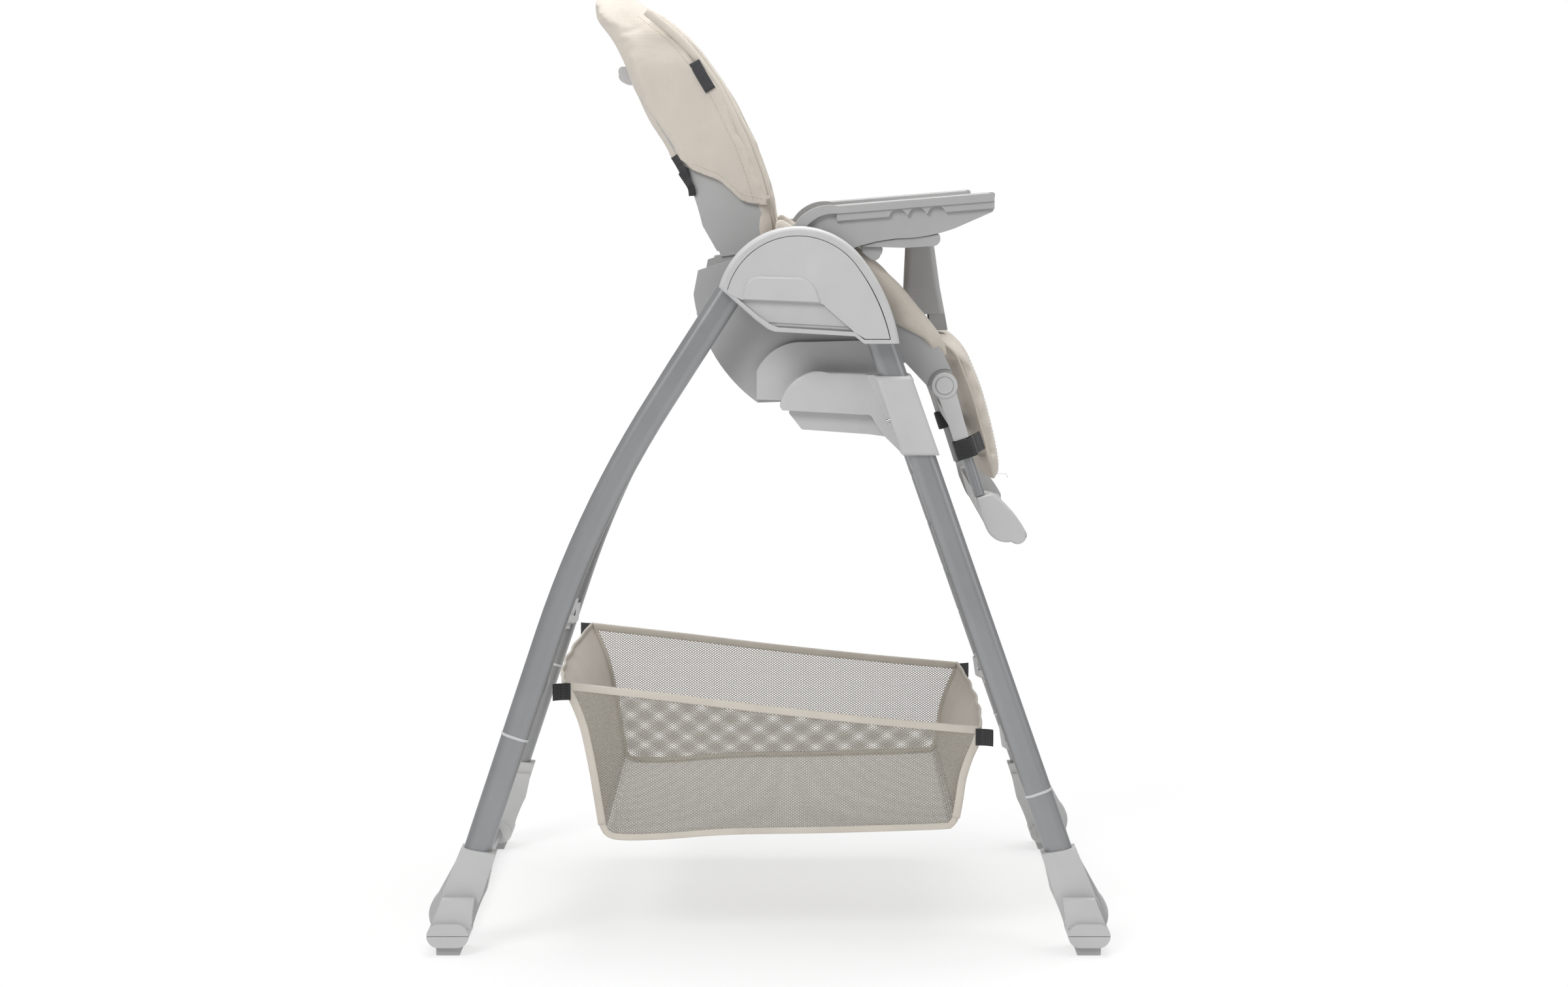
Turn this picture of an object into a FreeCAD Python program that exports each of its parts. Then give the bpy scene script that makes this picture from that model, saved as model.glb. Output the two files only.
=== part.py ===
"""High chair: folding A-frame, height-adjustable seat, reclining back, leg rest. Millimetres.

The chair faces +X, Y = 0 is its symmetry plane and Z = 0 is the floor.
"right" is the right hand of the child in the seat, which is the -Y side.
"""
import FreeCAD, Part
import math
import os

V = FreeCAD.Vector

# ---------------------------------------------------------------- driving dimensions
LEG_Y = 252.0                # distance of each leg tube from the symmetry plane
TUBE_WIDTH = 30.0            # leg tube across, seen from the side
TUBE_DEPTH = 20.0            # leg tube across, seen from the front
TUBE_WALL = 1.5
FOOT_X = 351.0               # where the leg lines meet the cross tubes
FOOT_Z = 22.0
LEG_END = 14.0               # the tubes stop this far up their centre lines
FRONT_LEAN = math.radians(19.4)
REAR_LOW_LEAN = math.radians(18.65)
REAR_TOP_LEAN = math.radians(32.8)
HINGE = (-21.6, 754.9)       # fold axis of the rear legs
REAR_BEND = 145.0            # tangent length of the bend in the rear leg
FRONT_LEG_TOP = 745.0
STEP = 60.0                  # pitch of the seat heights along the front leg
STEPS = 6

CASE = (32.0, 708.0)         # centre of the round hinge case
CASE_R = 88.0
CASE_IN = 237.0              # faces of the case, measured from the symmetry plane
CASE_OUT = 284.0
PLATE = 3.0                  # wall of the mouldings

SHELL_IN = 200.0             # inner and outer face of the seat's side panels
SHELL_OUT = 208.0
NOSE_Y = 184.0               # half width of the floor's curved nose, between the side pads
CARRIAGE_IN = 215.0          # carriage wing, inside the swing plane of the rear legs
CARRIAGE_OUT = 238.5
SLEEVE_OUT = 268.0
ARM_IN = 198.0
ARM_OUT = 236.0
ARM_SCREWS = ((104.0, 792.0), (216.0, 810.0))

BACK_PIVOT = (-15.0, 712.0)  # recline axis
BACK_Y = 170.0               # half width of the back shell
LEGREST_PIVOT = (193.0, 621.0)
HUB_R = 14.3
BUTTON_R = 9.5
CALF_LEAN = math.radians(18.0)   # the leg rest hangs at this angle when it is down
CALF_TUBE_Y = 203.0

BASKET_Y = 220.0
CLOTH = 3.0
FIT = 0.05                   # radial clearance of pins in their holes
GAP = 0.5                    # clearance between neighbouring mouldings

os.makedirs("parts", exist_ok=True)


# ---------------------------------------------------------------- helpers
def save(name, shape):
    shape.exportStep(f"parts/{name}.step")


def outline(start, *steps, y=0.0):
    """Closed face in the XZ plane. A step is a point, or a pair (via, end) for an arc."""
    here = V(start[0], y, start[1])
    first = here
    edges = []
    for step in steps:
        if isinstance(step[0], tuple):
            via = V(step[0][0], y, step[0][1])
            end = V(step[1][0], y, step[1][1])
            edges.append(Part.Arc(here, via, end).toShape())
        else:
            end = V(step[0], y, step[1])
            edges.append(Part.LineSegment(here, end).toShape())
        here = end
    if here.distanceToPoint(first) > 1e-6:
        edges.append(Part.LineSegment(here, first).toShape())
    return Part.Face(Part.Wire(edges))


def right_prism(face, inner, outer):
    """Prism of a side profile on the right of the chair, between two distances from the plane."""
    shape = face.copy()
    shape.translate(V(0, -outer, 0))
    return shape.extrude(V(0, outer - inner, 0))


def wide_prism(face, half_width):
    return right_prism(face, -half_width, half_width)


def mirrored(shape):
    return shape.mirror(V(0, 0, 0), V(0, 1, 0))


def pair(name, shape):
    """A right-hand piece and its mirror image, each in its own node."""
    save(f"{name}_right", shape)
    save(f"{name}_left", mirrored(shape))


def both(*shapes):
    """Right-hand pieces together with their mirror images, as one group of solids."""
    return Part.makeCompound([*shapes, *[mirrored(shape) for shape in shapes]])


def rod(radius, centre, inner, outer):
    """Round pin along Y on the right of the chair."""
    return Part.makeCylinder(radius, outer - inner, V(centre[0], -outer, centre[1]), V(0, 1, 0))


def block(x, y, z):
    """Box between three pairs of limits."""
    return Part.makeBox(x[1] - x[0], y[1] - y[0], z[1] - z[0], V(x[0], y[0], z[0]))


def on_circle(centre, radius, degrees):
    angle = math.radians(degrees)
    return (centre[0] + radius * math.cos(angle), centre[1] + radius * math.sin(angle))


def oval_wire(centre, along, width, depth):
    """Flat oval across a direction in the XZ plane: width in that plane, depth along Y."""
    across = V(along.z, 0, -along.x)
    radius = depth / 2.0
    flat = across * (width / 2.0 - radius)
    side = V(0, radius, 0)
    round_end = across * (width / 2.0)
    a, b = centre + flat + side, centre + flat - side
    c, d = centre - flat - side, centre - flat + side
    return Part.Wire([Part.Arc(a, centre + round_end, b).toShape(), Part.LineSegment(b, c).toShape(),
                      Part.Arc(c, centre - round_end, d).toShape(), Part.LineSegment(d, a).toShape()])


def oval_bar(start, end, width, depth):
    along = (end - start).normalize()
    return Part.Face(oval_wire(start, along, width, depth)).extrude(end - start)


def down(lean, length):
    """Step of a given length down a line that leans outwards at the bottom (to +X)."""
    return V(length * math.sin(lean), 0, -length * math.cos(lean))


def front_x(z):
    """X of the front leg's centre line at a height."""
    return FOOT_X + (FOOT_Z - z) * math.tan(FRONT_LEAN)


def at(x, z, y=-LEG_Y):
    return V(x, y, z)


def rounded_slab(half_y, low, high, corner, x):
    """Slab across X whose outline in the YZ plane has rounded upper corners."""
    k = corner * (1 - math.sqrt(0.5))
    points = [V(x[0], -half_y, low), V(x[0], half_y, low), V(x[0], half_y, high - corner),
              V(x[0], half_y - corner, high), V(x[0], corner - half_y, high),
              V(x[0], -half_y, high - corner)]
    left_via = V(x[0], half_y - k, high - k)
    right_via = V(x[0], k - half_y, high - k)
    edges = [Part.LineSegment(points[0], points[1]).toShape(),
             Part.LineSegment(points[1], points[2]).toShape(),
             Part.Arc(points[2], left_via, points[3]).toShape(),
             Part.LineSegment(points[3], points[4]).toShape(),
             Part.Arc(points[4], right_via, points[5]).toShape(),
             Part.LineSegment(points[5], points[0]).toShape()]
    return Part.Face(Part.Wire(edges)).extrude(V(x[1] - x[0], 0, 0))


# ---------------------------------------------------------------- front frame
def front_leg():
    """Straight flat-oval tube with a row of lock holes down its rear edge."""
    top = at(front_x(FRONT_LEG_TOP), FRONT_LEG_TOP)
    foot = at(FOOT_X, FOOT_Z) + down(FRONT_LEAN, -LEG_END)
    tube = oval_bar(top, foot, TUBE_WIDTH, TUBE_DEPTH)
    bore = oval_bar(top, foot, TUBE_WIDTH - 2 * TUBE_WALL, TUBE_DEPTH - 2 * TUBE_WALL)
    tube = tube.cut(bore)
    hole_radius, first = 3.2, 592.0
    rearwards = V(-math.cos(FRONT_LEAN), 0, -math.sin(FRONT_LEAN))
    for step in range(STEPS):
        start = at(front_x(first), first) + down(FRONT_LEAN, step * STEP)
        tube = tube.cut(Part.makeCylinder(hole_radius, TUBE_WIDTH, start, rearwards))
    return tube


def leg_ring(x, z, lean):
    """Thin trim ring round a leg tube."""
    centre = at(x, z)
    end = centre + down(lean, 3.0)
    lip = 1.0
    return oval_bar(centre, end, TUBE_WIDTH + lip, TUBE_DEPTH + lip).cut(
        oval_bar(centre, end, TUBE_WIDTH, TUBE_DEPTH))


def foot(side):
    """Moulded foot: a sleeve for the leg tube on a horizontal oval. side is 1 in front, -1 behind."""
    oval_w, oval_h, oval_z = 46.0, 26.0, 22.7
    inner, outer = 232.0, 285.0
    base = Part.Face(Part.Wire([
        Part.Arc(V(side * FOOT_X - 10, 0, oval_z - oval_h / 2), V(side * FOOT_X - oval_w / 2, 0, oval_z),
                 V(side * FOOT_X - 10, 0, oval_z + oval_h / 2)).toShape(),
        Part.LineSegment(V(side * FOOT_X - 10, 0, oval_z + oval_h / 2),
                         V(side * FOOT_X + 10, 0, oval_z + oval_h / 2)).toShape(),
        Part.Arc(V(side * FOOT_X + 10, 0, oval_z + oval_h / 2), V(side * FOOT_X + oval_w / 2, 0, oval_z),
                 V(side * FOOT_X + 10, 0, oval_z - oval_h / 2)).toShape(),
        Part.LineSegment(V(side * FOOT_X + 10, 0, oval_z - oval_h / 2),
                         V(side * FOOT_X - 10, 0, oval_z - oval_h / 2)).toShape()]))
    base = right_prism(base, inner, outer)
    parting = block((side * FOOT_X - 30, side * FOOT_X + 30), (-outer - 1, -outer + 1.2),
                    (oval_z - 0.4, oval_z + 0.4))
    profile = outline((side * 299.5, 109.5), (side * 337.5, 116.0), (side * 360.0, 62.0),
                      ((side * 367.0, 48.0), (side * 371.5, 30.0)), (side * 328.0, 30.0),
                      ((side * 322.0, 46.0), (side * 315.0, 62.0)))
    sleeve = right_prism(profile, 238.5, 265.5)
    bulge = outline((side * 304.0, 98.0), (side * 345.0, 98.0), (side * 366.0, 60.0),
                    ((side * 374.0, 46.0), (side * 372.0, 26.0)), (side * 327.0, 26.0),
                    ((side * 320.0, 46.0), (side * 311.0, 66.0)))
    bulge = right_prism(bulge, 234.0, 252.0)
    toe = outline((side * 322.0, 62.0), (side * 358.0, 62.0), (side * 371.0, 30.0), (side * 327.0, 30.0))
    toe = right_prism(toe, 250.0, 280.0)
    body = base.fuse([sleeve, bulge, toe]).removeSplitter()
    lean = FRONT_LEAN if side > 0 else REAR_LOW_LEAN
    ends = [at(side * (FOOT_X + down(lean, -height).x), FOOT_Z + down(lean, -height).z)
            for height in (LEG_END, LEG_END + 130.0)]
    return body.cut(oval_bar(*ends, TUBE_WIDTH, TUBE_DEPTH)).cut(parting)


def foot_pad(side):
    """Rubber pad under a foot; its cradle hugs the oval and its face lies on the floor."""
    pad = block((side * FOOT_X - 13, side * FOOT_X + 13), (-280, -238), (0, 9.7))
    return pad.makeFillet(1.5, [e for e in pad.Edges if abs(e.BoundBox.ZMin) < 0.1
                                and e.BoundBox.ZMax < 0.1])


def cross_tube(side):
    """Tube between the two feet at one end of the frame."""
    reach = 232.0
    tube = Part.makeCylinder(10.0, 2 * reach, V(side * FOOT_X, -reach, FOOT_Z), V(0, 1, 0))
    return tube.cut(Part.makeCylinder(8.5, 2 * reach, V(side * FOOT_X, -reach, FOOT_Z), V(0, 1, 0)))


def case_face(arc_inset, base_inset):
    """Side profile of the hinge case, drawn in by one amount round the arc and another at the base."""
    radius = CASE_R - arc_inset
    b = base_inset
    left = on_circle(CASE, radius, 164.5)
    crown = on_circle(CASE, radius, 90.0)
    joint = on_circle(CASE, radius, 35.0)
    nose_via = (128.0 - 0.93 * arc_inset, 717.0 - 0.3 * arc_inset)
    nose = (141.0 - arc_inset, 671.0 + b)
    corner = (-47.0 + 0.7 * b + 0.55 * arc_inset, 726.0 + b - 0.6 * arc_inset)
    return outline(left, (crown, joint), (nose_via, nose), (103.0, 671.0 + b), (93.0, 679.0 + b),
                   (7.0 + b, 684.0 + b), (-1.0 + b, 687.0 + b), (-13.0 + 0.7 * b, 696.0 + b), corner)


def hinge_rim():
    """Curved wall of the hinge case with its lip, open below for the rear leg's swing."""
    lip = 9.6
    rim = right_prism(case_face(0.0, 0.0), CASE_IN + PLATE, CASE_OUT)
    outer_edges = [e for e in rim.Edges if abs(e.BoundBox.YMin + CASE_OUT) < 0.01
                   and abs(e.BoundBox.YMax + CASE_OUT) < 0.01 and e.BoundBox.ZMax > 730.0]
    rim = rim.makeFillet(5.0, outer_edges)
    rim = rim.cut(right_prism(case_face(PLATE, PLATE), CASE_IN + PLATE - 1, CASE_OUT - PLATE))
    rim = rim.cut(right_prism(case_face(lip, 4.5), CASE_OUT - PLATE - 1, CASE_OUT + 1))
    open_base = outline((-70.0, 660.0), (100.0, 660.0), (100.0, 690.0), (0.0, 700.0), (-42.0, 735.0),
                        (-70.0, 735.0))
    rim = rim.cut(right_prism(open_base, CASE_IN, 270.0))
    hinge = at(*HINGE)
    slot = oval_bar(hinge, hinge + V(-90 * math.sin(REAR_TOP_LEAN), 0, -90 * math.cos(REAR_TOP_LEAN)),
                    TUBE_WIDTH + 3.0, TUBE_DEPTH + 4.0)
    head_room = rod(TUBE_WIDTH / 2 + 1.2, HINGE, CASE_IN, LEG_Y + TUBE_DEPTH / 2 + 2.0)
    front = at(front_x(FRONT_LEG_TOP), FRONT_LEG_TOP)
    tube = oval_bar(front, front + down(FRONT_LEAN, 120.0), TUBE_WIDTH, TUBE_DEPTH)
    return rim.cut(slot).cut(head_room).cut(tube)


def hinge_cover():
    """Outer face of the hinge case with its raised grip field, above the fold lever."""
    inset = 10.2
    left = on_circle(CASE, CASE_R - inset, 167.5)
    crown = on_circle(CASE, CASE_R - inset, 90.0)
    joint = on_circle(CASE, CASE_R - inset, 35.0)
    face = outline(left, (crown, joint), ((118.5, 713.0), (130.4, 676.3)), (104.0, 676.3), (93.0, 683.0),
                   (62.0, 710.0), ((59.0, 713.0), (54.0, 714.0)), (-28.0, 718.0), (-40.0, 723.5))
    cover = right_prism(face, CASE_OUT - PLATE, CASE_OUT + 0.8)
    grip = outline((-27.0, 719.0), (-24.0, 731.0), ((-19.0, 740.0), (-9.0, 743.0)), (32.0, 742.0),
                   ((44.0, 738.0), (52.0, 728.0)), (56.5, 715.5))
    grip = right_prism(grip, CASE_OUT - PLATE, CASE_OUT + 3.0)
    grip = grip.makeChamfer(1.8, [e for e in grip.Edges if abs(e.BoundBox.YMin + CASE_OUT + 3.0) < 0.01
                                  and abs(e.BoundBox.YMax + CASE_OUT + 3.0) < 0.01
                                  and e.BoundBox.ZMax > 719.5])
    boss = rod(9.0, HINGE, 270.5, CASE_OUT - PLATE + 0.5)
    return cover.fuse([grip, boss]).removeSplitter().cut(hinge_rim())


def hinge_plate():
    """Inner cheek of the hinge case, with the hole for the pivot pin."""
    plate = right_prism(case_face(0.6, 0.6), CASE_IN, CASE_IN + PLATE)
    return plate.cut(rod(5.0, HINGE, CASE_IN - 1, CASE_IN + PLATE + 1))


def hinge_pin():
    """Pivot pin of a rear leg, with its rivet head and washer."""
    shaft = rod(5.0, HINGE, CASE_IN - 2.0, 270.0)
    head = rod(9.0, HINGE, CASE_IN - 2.5, CASE_IN)
    washer = rod(9.0, HINGE, 263.5, 266.5)
    return shaft.fuse([head, washer]).removeSplitter()


def fold_lever():
    """Release lever in the case below the cover; it is pulled up to unlock the fold."""
    face = outline((-33.0, 725.0), (-27.0, 715.5), (-0.5, 692.5), ((2.0, 690.6), (6.0, 690.2)),
                   (89.0, 685.5),
                   (62.0, 716.0), (50.0, 722.0))
    lever = right_prism(face, 273.5, CASE_OUT - PLATE - GAP)
    rebate = outline((-4.0, 690.0), (90.0, 684.5), (86.5, 689.0), (1.0, 693.8))
    return lever.cut(right_prism(rebate, 279.3, CASE_OUT))


def basket_hook(x, z, lean, side):
    """Clip on the inner face of a leg that a corner of the basket hangs from."""
    inner, outer = 229.0, LEG_Y - TUBE_DEPTH / 2
    slant = math.tan(lean) * 18.0 * side
    saddle = outline((x + slant, z - 19.0), (x + 25 * side + slant, z - 19.0),
                     (x + 25 * side - slant, z + 19.0),
                     (x - slant, z + 19.0))
    plate = right_prism(saddle, inner + 7.0, outer)
    horn = outline((x + slant * 0.5, z - 12.0), (x - 8 * side + slant * 0.5, z - 8.0),
                   (x - 8 * side, z + 14.0), (x - 3 * side, z + 14.0), (x - 2 * side, z))
    horn = right_prism(horn, inner, outer)
    arm = outline((x + 18 * side, z - 10.0), (x - 2 * side, z - 10.0), (x - 2 * side, z - 2.0),
                  (x + 18 * side, z - 2.0))
    return plate.fuse([horn, right_prism(arm, inner, outer)]).removeSplitter()


# ---------------------------------------------------------------- rear frame
def rear_leg_points():
    """Hinge, start and end of the bend, middle of its arc, and foot of the rear leg's centre line."""
    top = V(HINGE[0], -LEG_Y, HINGE[1])
    foot_point = V(-FOOT_X, -LEG_Y, FOOT_Z)
    top_slope, low_slope = math.tan(REAR_TOP_LEAN), math.tan(REAR_LOW_LEAN)
    knee_z = (foot_point.x - low_slope * FOOT_Z - top.x + top_slope * top.z) / (top_slope - low_slope)
    knee = V(top.x - (top.z - knee_z) * top_slope, -LEG_Y, knee_z)
    upward = V(math.sin(REAR_TOP_LEAN), 0, math.cos(REAR_TOP_LEAN))
    downward = V(-math.sin(REAR_LOW_LEAN), 0, -math.cos(REAR_LOW_LEAN))
    bend_start, bend_end = knee + upward * REAR_BEND, knee + downward * REAR_BEND
    half_turn = (REAR_TOP_LEAN - REAR_LOW_LEAN) / 2
    radius = REAR_BEND / math.tan(half_turn)
    centre_direction = (upward + downward).normalize()
    centre = knee + centre_direction * (radius / math.cos(half_turn))
    middle = centre - centre_direction * radius
    end = foot_point - downward * LEG_END
    return top, bend_start, middle, bend_end, end


def rear_leg():
    """Flat-oval tube bent once, with a round flattened end on the hinge pin."""
    top, bend_start, middle, bend_end, end = rear_leg_points()
    neck = 14.0
    upward = (top - bend_start).normalize()
    tube_top = top - upward * neck
    path = Part.Wire([Part.LineSegment(tube_top, bend_start).toShape(),
                      Part.Arc(bend_start, middle, bend_end).toShape(),
                      Part.LineSegment(bend_end, end).toShape()])

    def swept(width, depth):
        return path.makePipeShell([oval_wire(tube_top, upward, width, depth)], True, False)

    tube = swept(TUBE_WIDTH, TUBE_DEPTH).cut(swept(TUBE_WIDTH - 2 * TUBE_WALL,
                                                   TUBE_DEPTH - 2 * TUBE_WALL))
    head = rod(TUBE_WIDTH / 2, HINGE, LEG_Y - TUBE_DEPTH / 2, LEG_Y + TUBE_DEPTH / 2)
    plug = oval_bar(top, top - upward * 40.0, TUBE_WIDTH - 2 * TUBE_WALL, TUBE_DEPTH - 2 * TUBE_WALL)
    leg = tube.fuse([head, plug]).removeSplitter()
    return leg.cut(rod(5.0 + FIT, HINGE, CASE_IN, CASE_OUT))


# ---------------------------------------------------------------- seat
def seat_profile():
    """Side profile of the seat's side panels, with the ear for the leg rest hinge."""
    ear_top = on_circle(LEGREST_PIVOT, HUB_R, 48.0)
    ear_front = on_circle(LEGREST_PIVOT, HUB_R, -20.0)
    ear_low = on_circle(LEGREST_PIVOT, HUB_R, 215.0)
    return outline((-77.0, 747.0), (-36.0, 760.0), ((-8.0, 776.0), (20.0, 786.0)), (80.0, 770.0),
                   (92.0, 762.0),
                   (181.0, 672.0), ((192.0, 655.0), ear_top), (ear_front, ear_low), (150.0, 646.0),
                   (120.0, 640.0), (40.0, 604.0), (-12.0, 602.0), ((-60.0, 655.0), (-82.0, 721.0)))


def seat_shell():
    """Moulded seat: two side panels, the floor with its narrower nose and a low curved back edge."""
    panel = right_prism(seat_profile(), SHELL_IN, SHELL_OUT)
    ear_relief = rod(HUB_R + 4.0, LEGREST_PIVOT, SHELL_OUT - 2.0, SHELL_OUT + 1.0)
    panel = panel.cut(ear_relief).cut(rod(4.0 + FIT, LEGREST_PIVOT, SHELL_IN - 1, SHELL_OUT + 1))
    floor = wide_prism(outline((-58.0, 684.0), (167.0, 684.0), (167.0, 688.0), (-58.0, 688.0)), SHELL_IN)
    nose = wide_prism(outline((166.0, 684.0), (170.0, 684.0), ((176.0, 682.0), (178.0, 676.0)),
                              (182.0, 676.0),
                              ((179.0, 686.0), (170.0, 688.0)), (166.0, 688.0)), NOSE_Y)
    back_edge = wide_prism(outline((-79.0, 700.0), ((-72.0, 680.0), (-62.0, 658.0)), (-58.0, 660.0),
                                   ((-67.5, 680.0), (-74.0, 700.0))), SHELL_IN)
    pivot_boss = rod(9.0, BACK_PIVOT, SHELL_IN - 8.0, SHELL_IN)
    pivot_boss = pivot_boss.cut(rod(4.0, BACK_PIVOT, SHELL_IN - 9.0, SHELL_IN))
    link = wide_prism(outline((-64.0, 684.0), (-50.0, 684.0), (-50.0, 688.0), (-70.0, 688.0)), SHELL_IN)
    return panel.fuse([mirrored(panel), floor, nose, back_edge, link, pivot_boss,
                       mirrored(pivot_boss)]).removeSplitter()


def seat_underside():
    """Curved cover that closes the seat from below."""
    outer = outline((-59.5, 683.5), ((-48.0, 640.0), (-12.0, 603.0)), (40.0, 604.0), (120.0, 640.0),
                    (150.0, 646.0),
                    (176.0, 675.0), (171.0, 683.5))
    inner = outline((-53.0, 690.0), ((-43.0, 643.0), (-10.0, 606.5)), (39.0, 607.5), (119.0, 643.2),
                    (148.5, 649.5), (171.5, 676.0), (168.0, 690.0))
    half = SHELL_IN - GAP
    return wide_prism(outer, half).cut(wide_prism(inner, half - PLATE))


def carriage():
    """Height carriage: a sleeve on the front leg, a hollow wing behind it and the flange to the seat."""
    top, base = 635.0, 549.0
    half = TUBE_WIDTH / 2 + 5.0
    wing_face = outline((12.5, 600.0), ((25.0, 625.0), (48.0, 638.0)), (150.0, top), ((155.0, 634.0),
                                                                                      (157.0, 629.0)),
                        (front_x(base) + half, base), (front_x(base) - half, base),
                        (125.0, 569.0), (114.5, 585.0), ((111.0, 590.0), (104.0, 591.0)), (15.0, 596.0))
    wing = right_prism(wing_face, CARRIAGE_IN, CARRIAGE_OUT)
    wing = wing.makeFillet(2.5, [e for e in wing.Edges if abs(e.BoundBox.YMin + CARRIAGE_OUT) < 0.01
                                 and abs(e.BoundBox.YMax + CARRIAGE_OUT) < 0.01
                                 and e.BoundBox.XMax < 152.0
                                 and e.BoundBox.ZMin > 599.0])
    sleeve_face = outline((front_x(top) - half, top), (150.0, top), ((155.0, 634.0), (157.0, 629.0)),
                          (front_x(base) + half, base), (front_x(base) - half, base))
    sleeve = right_prism(sleeve_face, CARRIAGE_OUT - 1.0, SLEEVE_OUT)
    sleeve = sleeve.makeFillet(5.0, [e for e in sleeve.Edges if abs(e.BoundBox.YMin + SLEEVE_OUT) < 0.01
                                     and abs(e.BoundBox.YMax + SLEEVE_OUT) < 0.01])
    fillet_web = outline((front_x(top) - half - 9.0, top), (front_x(top) - half + 2.0, top),
                         (front_x(base) - half + 2.0, base), (front_x(base) - half - 1.0, base))
    web = right_prism(fillet_web, CARRIAGE_OUT - 1.0, CARRIAGE_OUT + 9.0)
    flange_face = outline((-13.0, 606.0), (-13.0, 637.0), ((8.0, 661.0), (40.0, 669.0)), (118.0, 671.0),
                          (140.0, 640.0), (130.0, 600.0))
    flange = right_prism(flange_face, SHELL_OUT, CARRIAGE_IN)
    body = wing.fuse([sleeve, web, flange]).removeSplitter()
    pocket = outline((20.0, 590.0), (20.0, 612.0), (44.0, 632.0), (104.0, 632.0), (122.0, 590.0),
                     (131.0, 572.0), (131.0, 558.0), (20.0, 558.0))
    body = body.cut(right_prism(pocket, CARRIAGE_IN + 2.0, CARRIAGE_OUT - 9.0))
    start = at(front_x(700.0), 700.0)
    bore = oval_bar(start, start + down(FRONT_LEAN, 200.0), TUBE_WIDTH + 2 * GAP, TUBE_DEPTH + 2 * GAP)
    pin_axis, pin_start = lock_pin_axis()
    pin_bore = Part.makeCylinder(2.6 + FIT, 60.0, pin_start, pin_axis)
    return body.cut(bore).cut(pin_bore)


def lock_pin_axis():
    """Direction away from the leg, and the point on the leg's centre line, of the lock pin."""
    rearwards = V(-math.cos(FRONT_LEAN), 0, -math.sin(FRONT_LEAN))
    return rearwards, V(front_x(592.0), -(CARRIAGE_OUT + 7.5), 592.0)


def lock_pin():
    """Steel pin that locks the carriage to the leg, drawn just clear of the tube."""
    axis, start = lock_pin_axis()
    tip = start + axis * (TUBE_WIDTH / 2 + 1.0)
    return Part.makeCylinder(2.6, 7.0, tip, axis)


def height_lever():
    """Grip bar under the carriage wing that draws the lock pin."""
    face = outline((22.5, 592.0), (34.0, 577.5), ((36.0, 575.0), (40.0, 574.0)), (110.0, 569.0),
                   (128.0, 566.5), (120.5, 578.0), (114.0, 587.0), (110.0, 590.5), (106.0, 600.0),
                   (24.0, 603.0))
    return right_prism(face, CARRIAGE_IN + 3.5, CARRIAGE_OUT - 10.0)


def arm_profile():
    return outline((27.0, 795.0), ((44.0, 812.0), (71.0, 818.0)), (241.0, 832.0), ((244.5, 831.0),
                                                                                   (245.0, 828.0)),
                   (245.0, 815.0), (243.0, 811.0), (203.0, 793.5), ((172.0, 785.0), (138.0, 782.0)),
                   (118.0, 779.0),
                   (99.0, 774.0), (92.0, 771.5), (76.0, 784.0), (60.0, 776.0), (22.0, 776.0))


def arm():
    """Armrest: a body with a top lip, a tray rail and its three detent arches."""
    body = right_prism(arm_profile(), ARM_IN + 4.0, ARM_OUT - 6.0)
    lip_face = outline((27.0, 795.0), ((44.0, 812.0), (71.0, 818.0)), (241.0, 832.0),
                       ((244.5, 831.0), (245.0, 828.0)), (244.0, 822.5), (74.0, 809.0),
                       ((52.0, 804.0), (38.0, 790.0)))
    lip = right_prism(lip_face, ARM_IN, ARM_OUT)
    lip = lip.makeFillet(1.8, [e for e in lip.Edges if e.BoundBox.YLength < 0.01
                               and e.BoundBox.ZMax > 831.0
                               and e.BoundBox.XLength > 100.0])
    rail_face = outline((74.0, 801.0), (245.0, 815.0), (244.0, 824.0), (74.0, 810.0))
    rail = right_prism(rail_face, ARM_OUT - 7.0, ARM_OUT - 2.0)
    for x in (140.5, 161.5, 182.5):
        z = 792.4 + x * 0.0852
        rail = rail.cut(rod(9.6, (x, z), ARM_OUT - 6.0, ARM_OUT + 1.0))
    panel = right_prism(seat_profile(), SHELL_IN, SHELL_OUT)
    return body.fuse([lip, rail]).removeSplitter().cut(panel)


def arm_cover():
    """Inner closing plate of an armrest."""
    face = outline((80.0, 786.0), (93.0, 776.0), (118.0, 782.0), (138.0, 785.0), ((170.0, 788.0),
                                                                                  (200.0, 796.0)),
                   (238.0, 813.0), (238.0, 819.0), (80.0, 806.0))
    plate = right_prism(face, ARM_IN + 1.5, ARM_IN + 4.0)
    for x, z in ARM_SCREWS:
        plate = plate.cut(rod(2.0, (x, z), ARM_IN, ARM_IN + 5.0))
    return plate


def arm_screw(x, z):
    """Pan-head screw in the inner closing plate."""
    shank = rod(2.0, (x, z), ARM_IN + 1.0, ARM_IN + 4.0)
    head = rod(3.8, (x, z), ARM_IN - 0.5, ARM_IN + 1.5)
    slot = block((x - 3.0, x + 3.0), (-ARM_IN - 0.3, -ARM_IN + 1.0), (z - 0.5, z + 0.5))
    return shank.fuse(head).cut(slot)


def cross_bar():
    """Bar between the armrests that carries the crotch post, with a lug over each side pad."""
    face = outline((99.5, 773.4), (118.0, 778.4), (138.0, 781.4), ((165.0, 783.4), (185.0, 787.0)),
                   ((186.5, 780.0), (180.0, 774.0)), (150.0, 772.0))
    lug_face = outline((101.5, 773.6), (118.0, 777.8), ((124.0, 772.0), (122.0, 764.0)),
                       ((118.0, 759.0), (111.0, 759.5)), (102.0, 767.0))
    lug = right_prism(lug_face, 215.0, 223.0)
    return wide_prism(face, ARM_OUT - 8.0).fuse([lug, mirrored(lug)]).removeSplitter()


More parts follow.
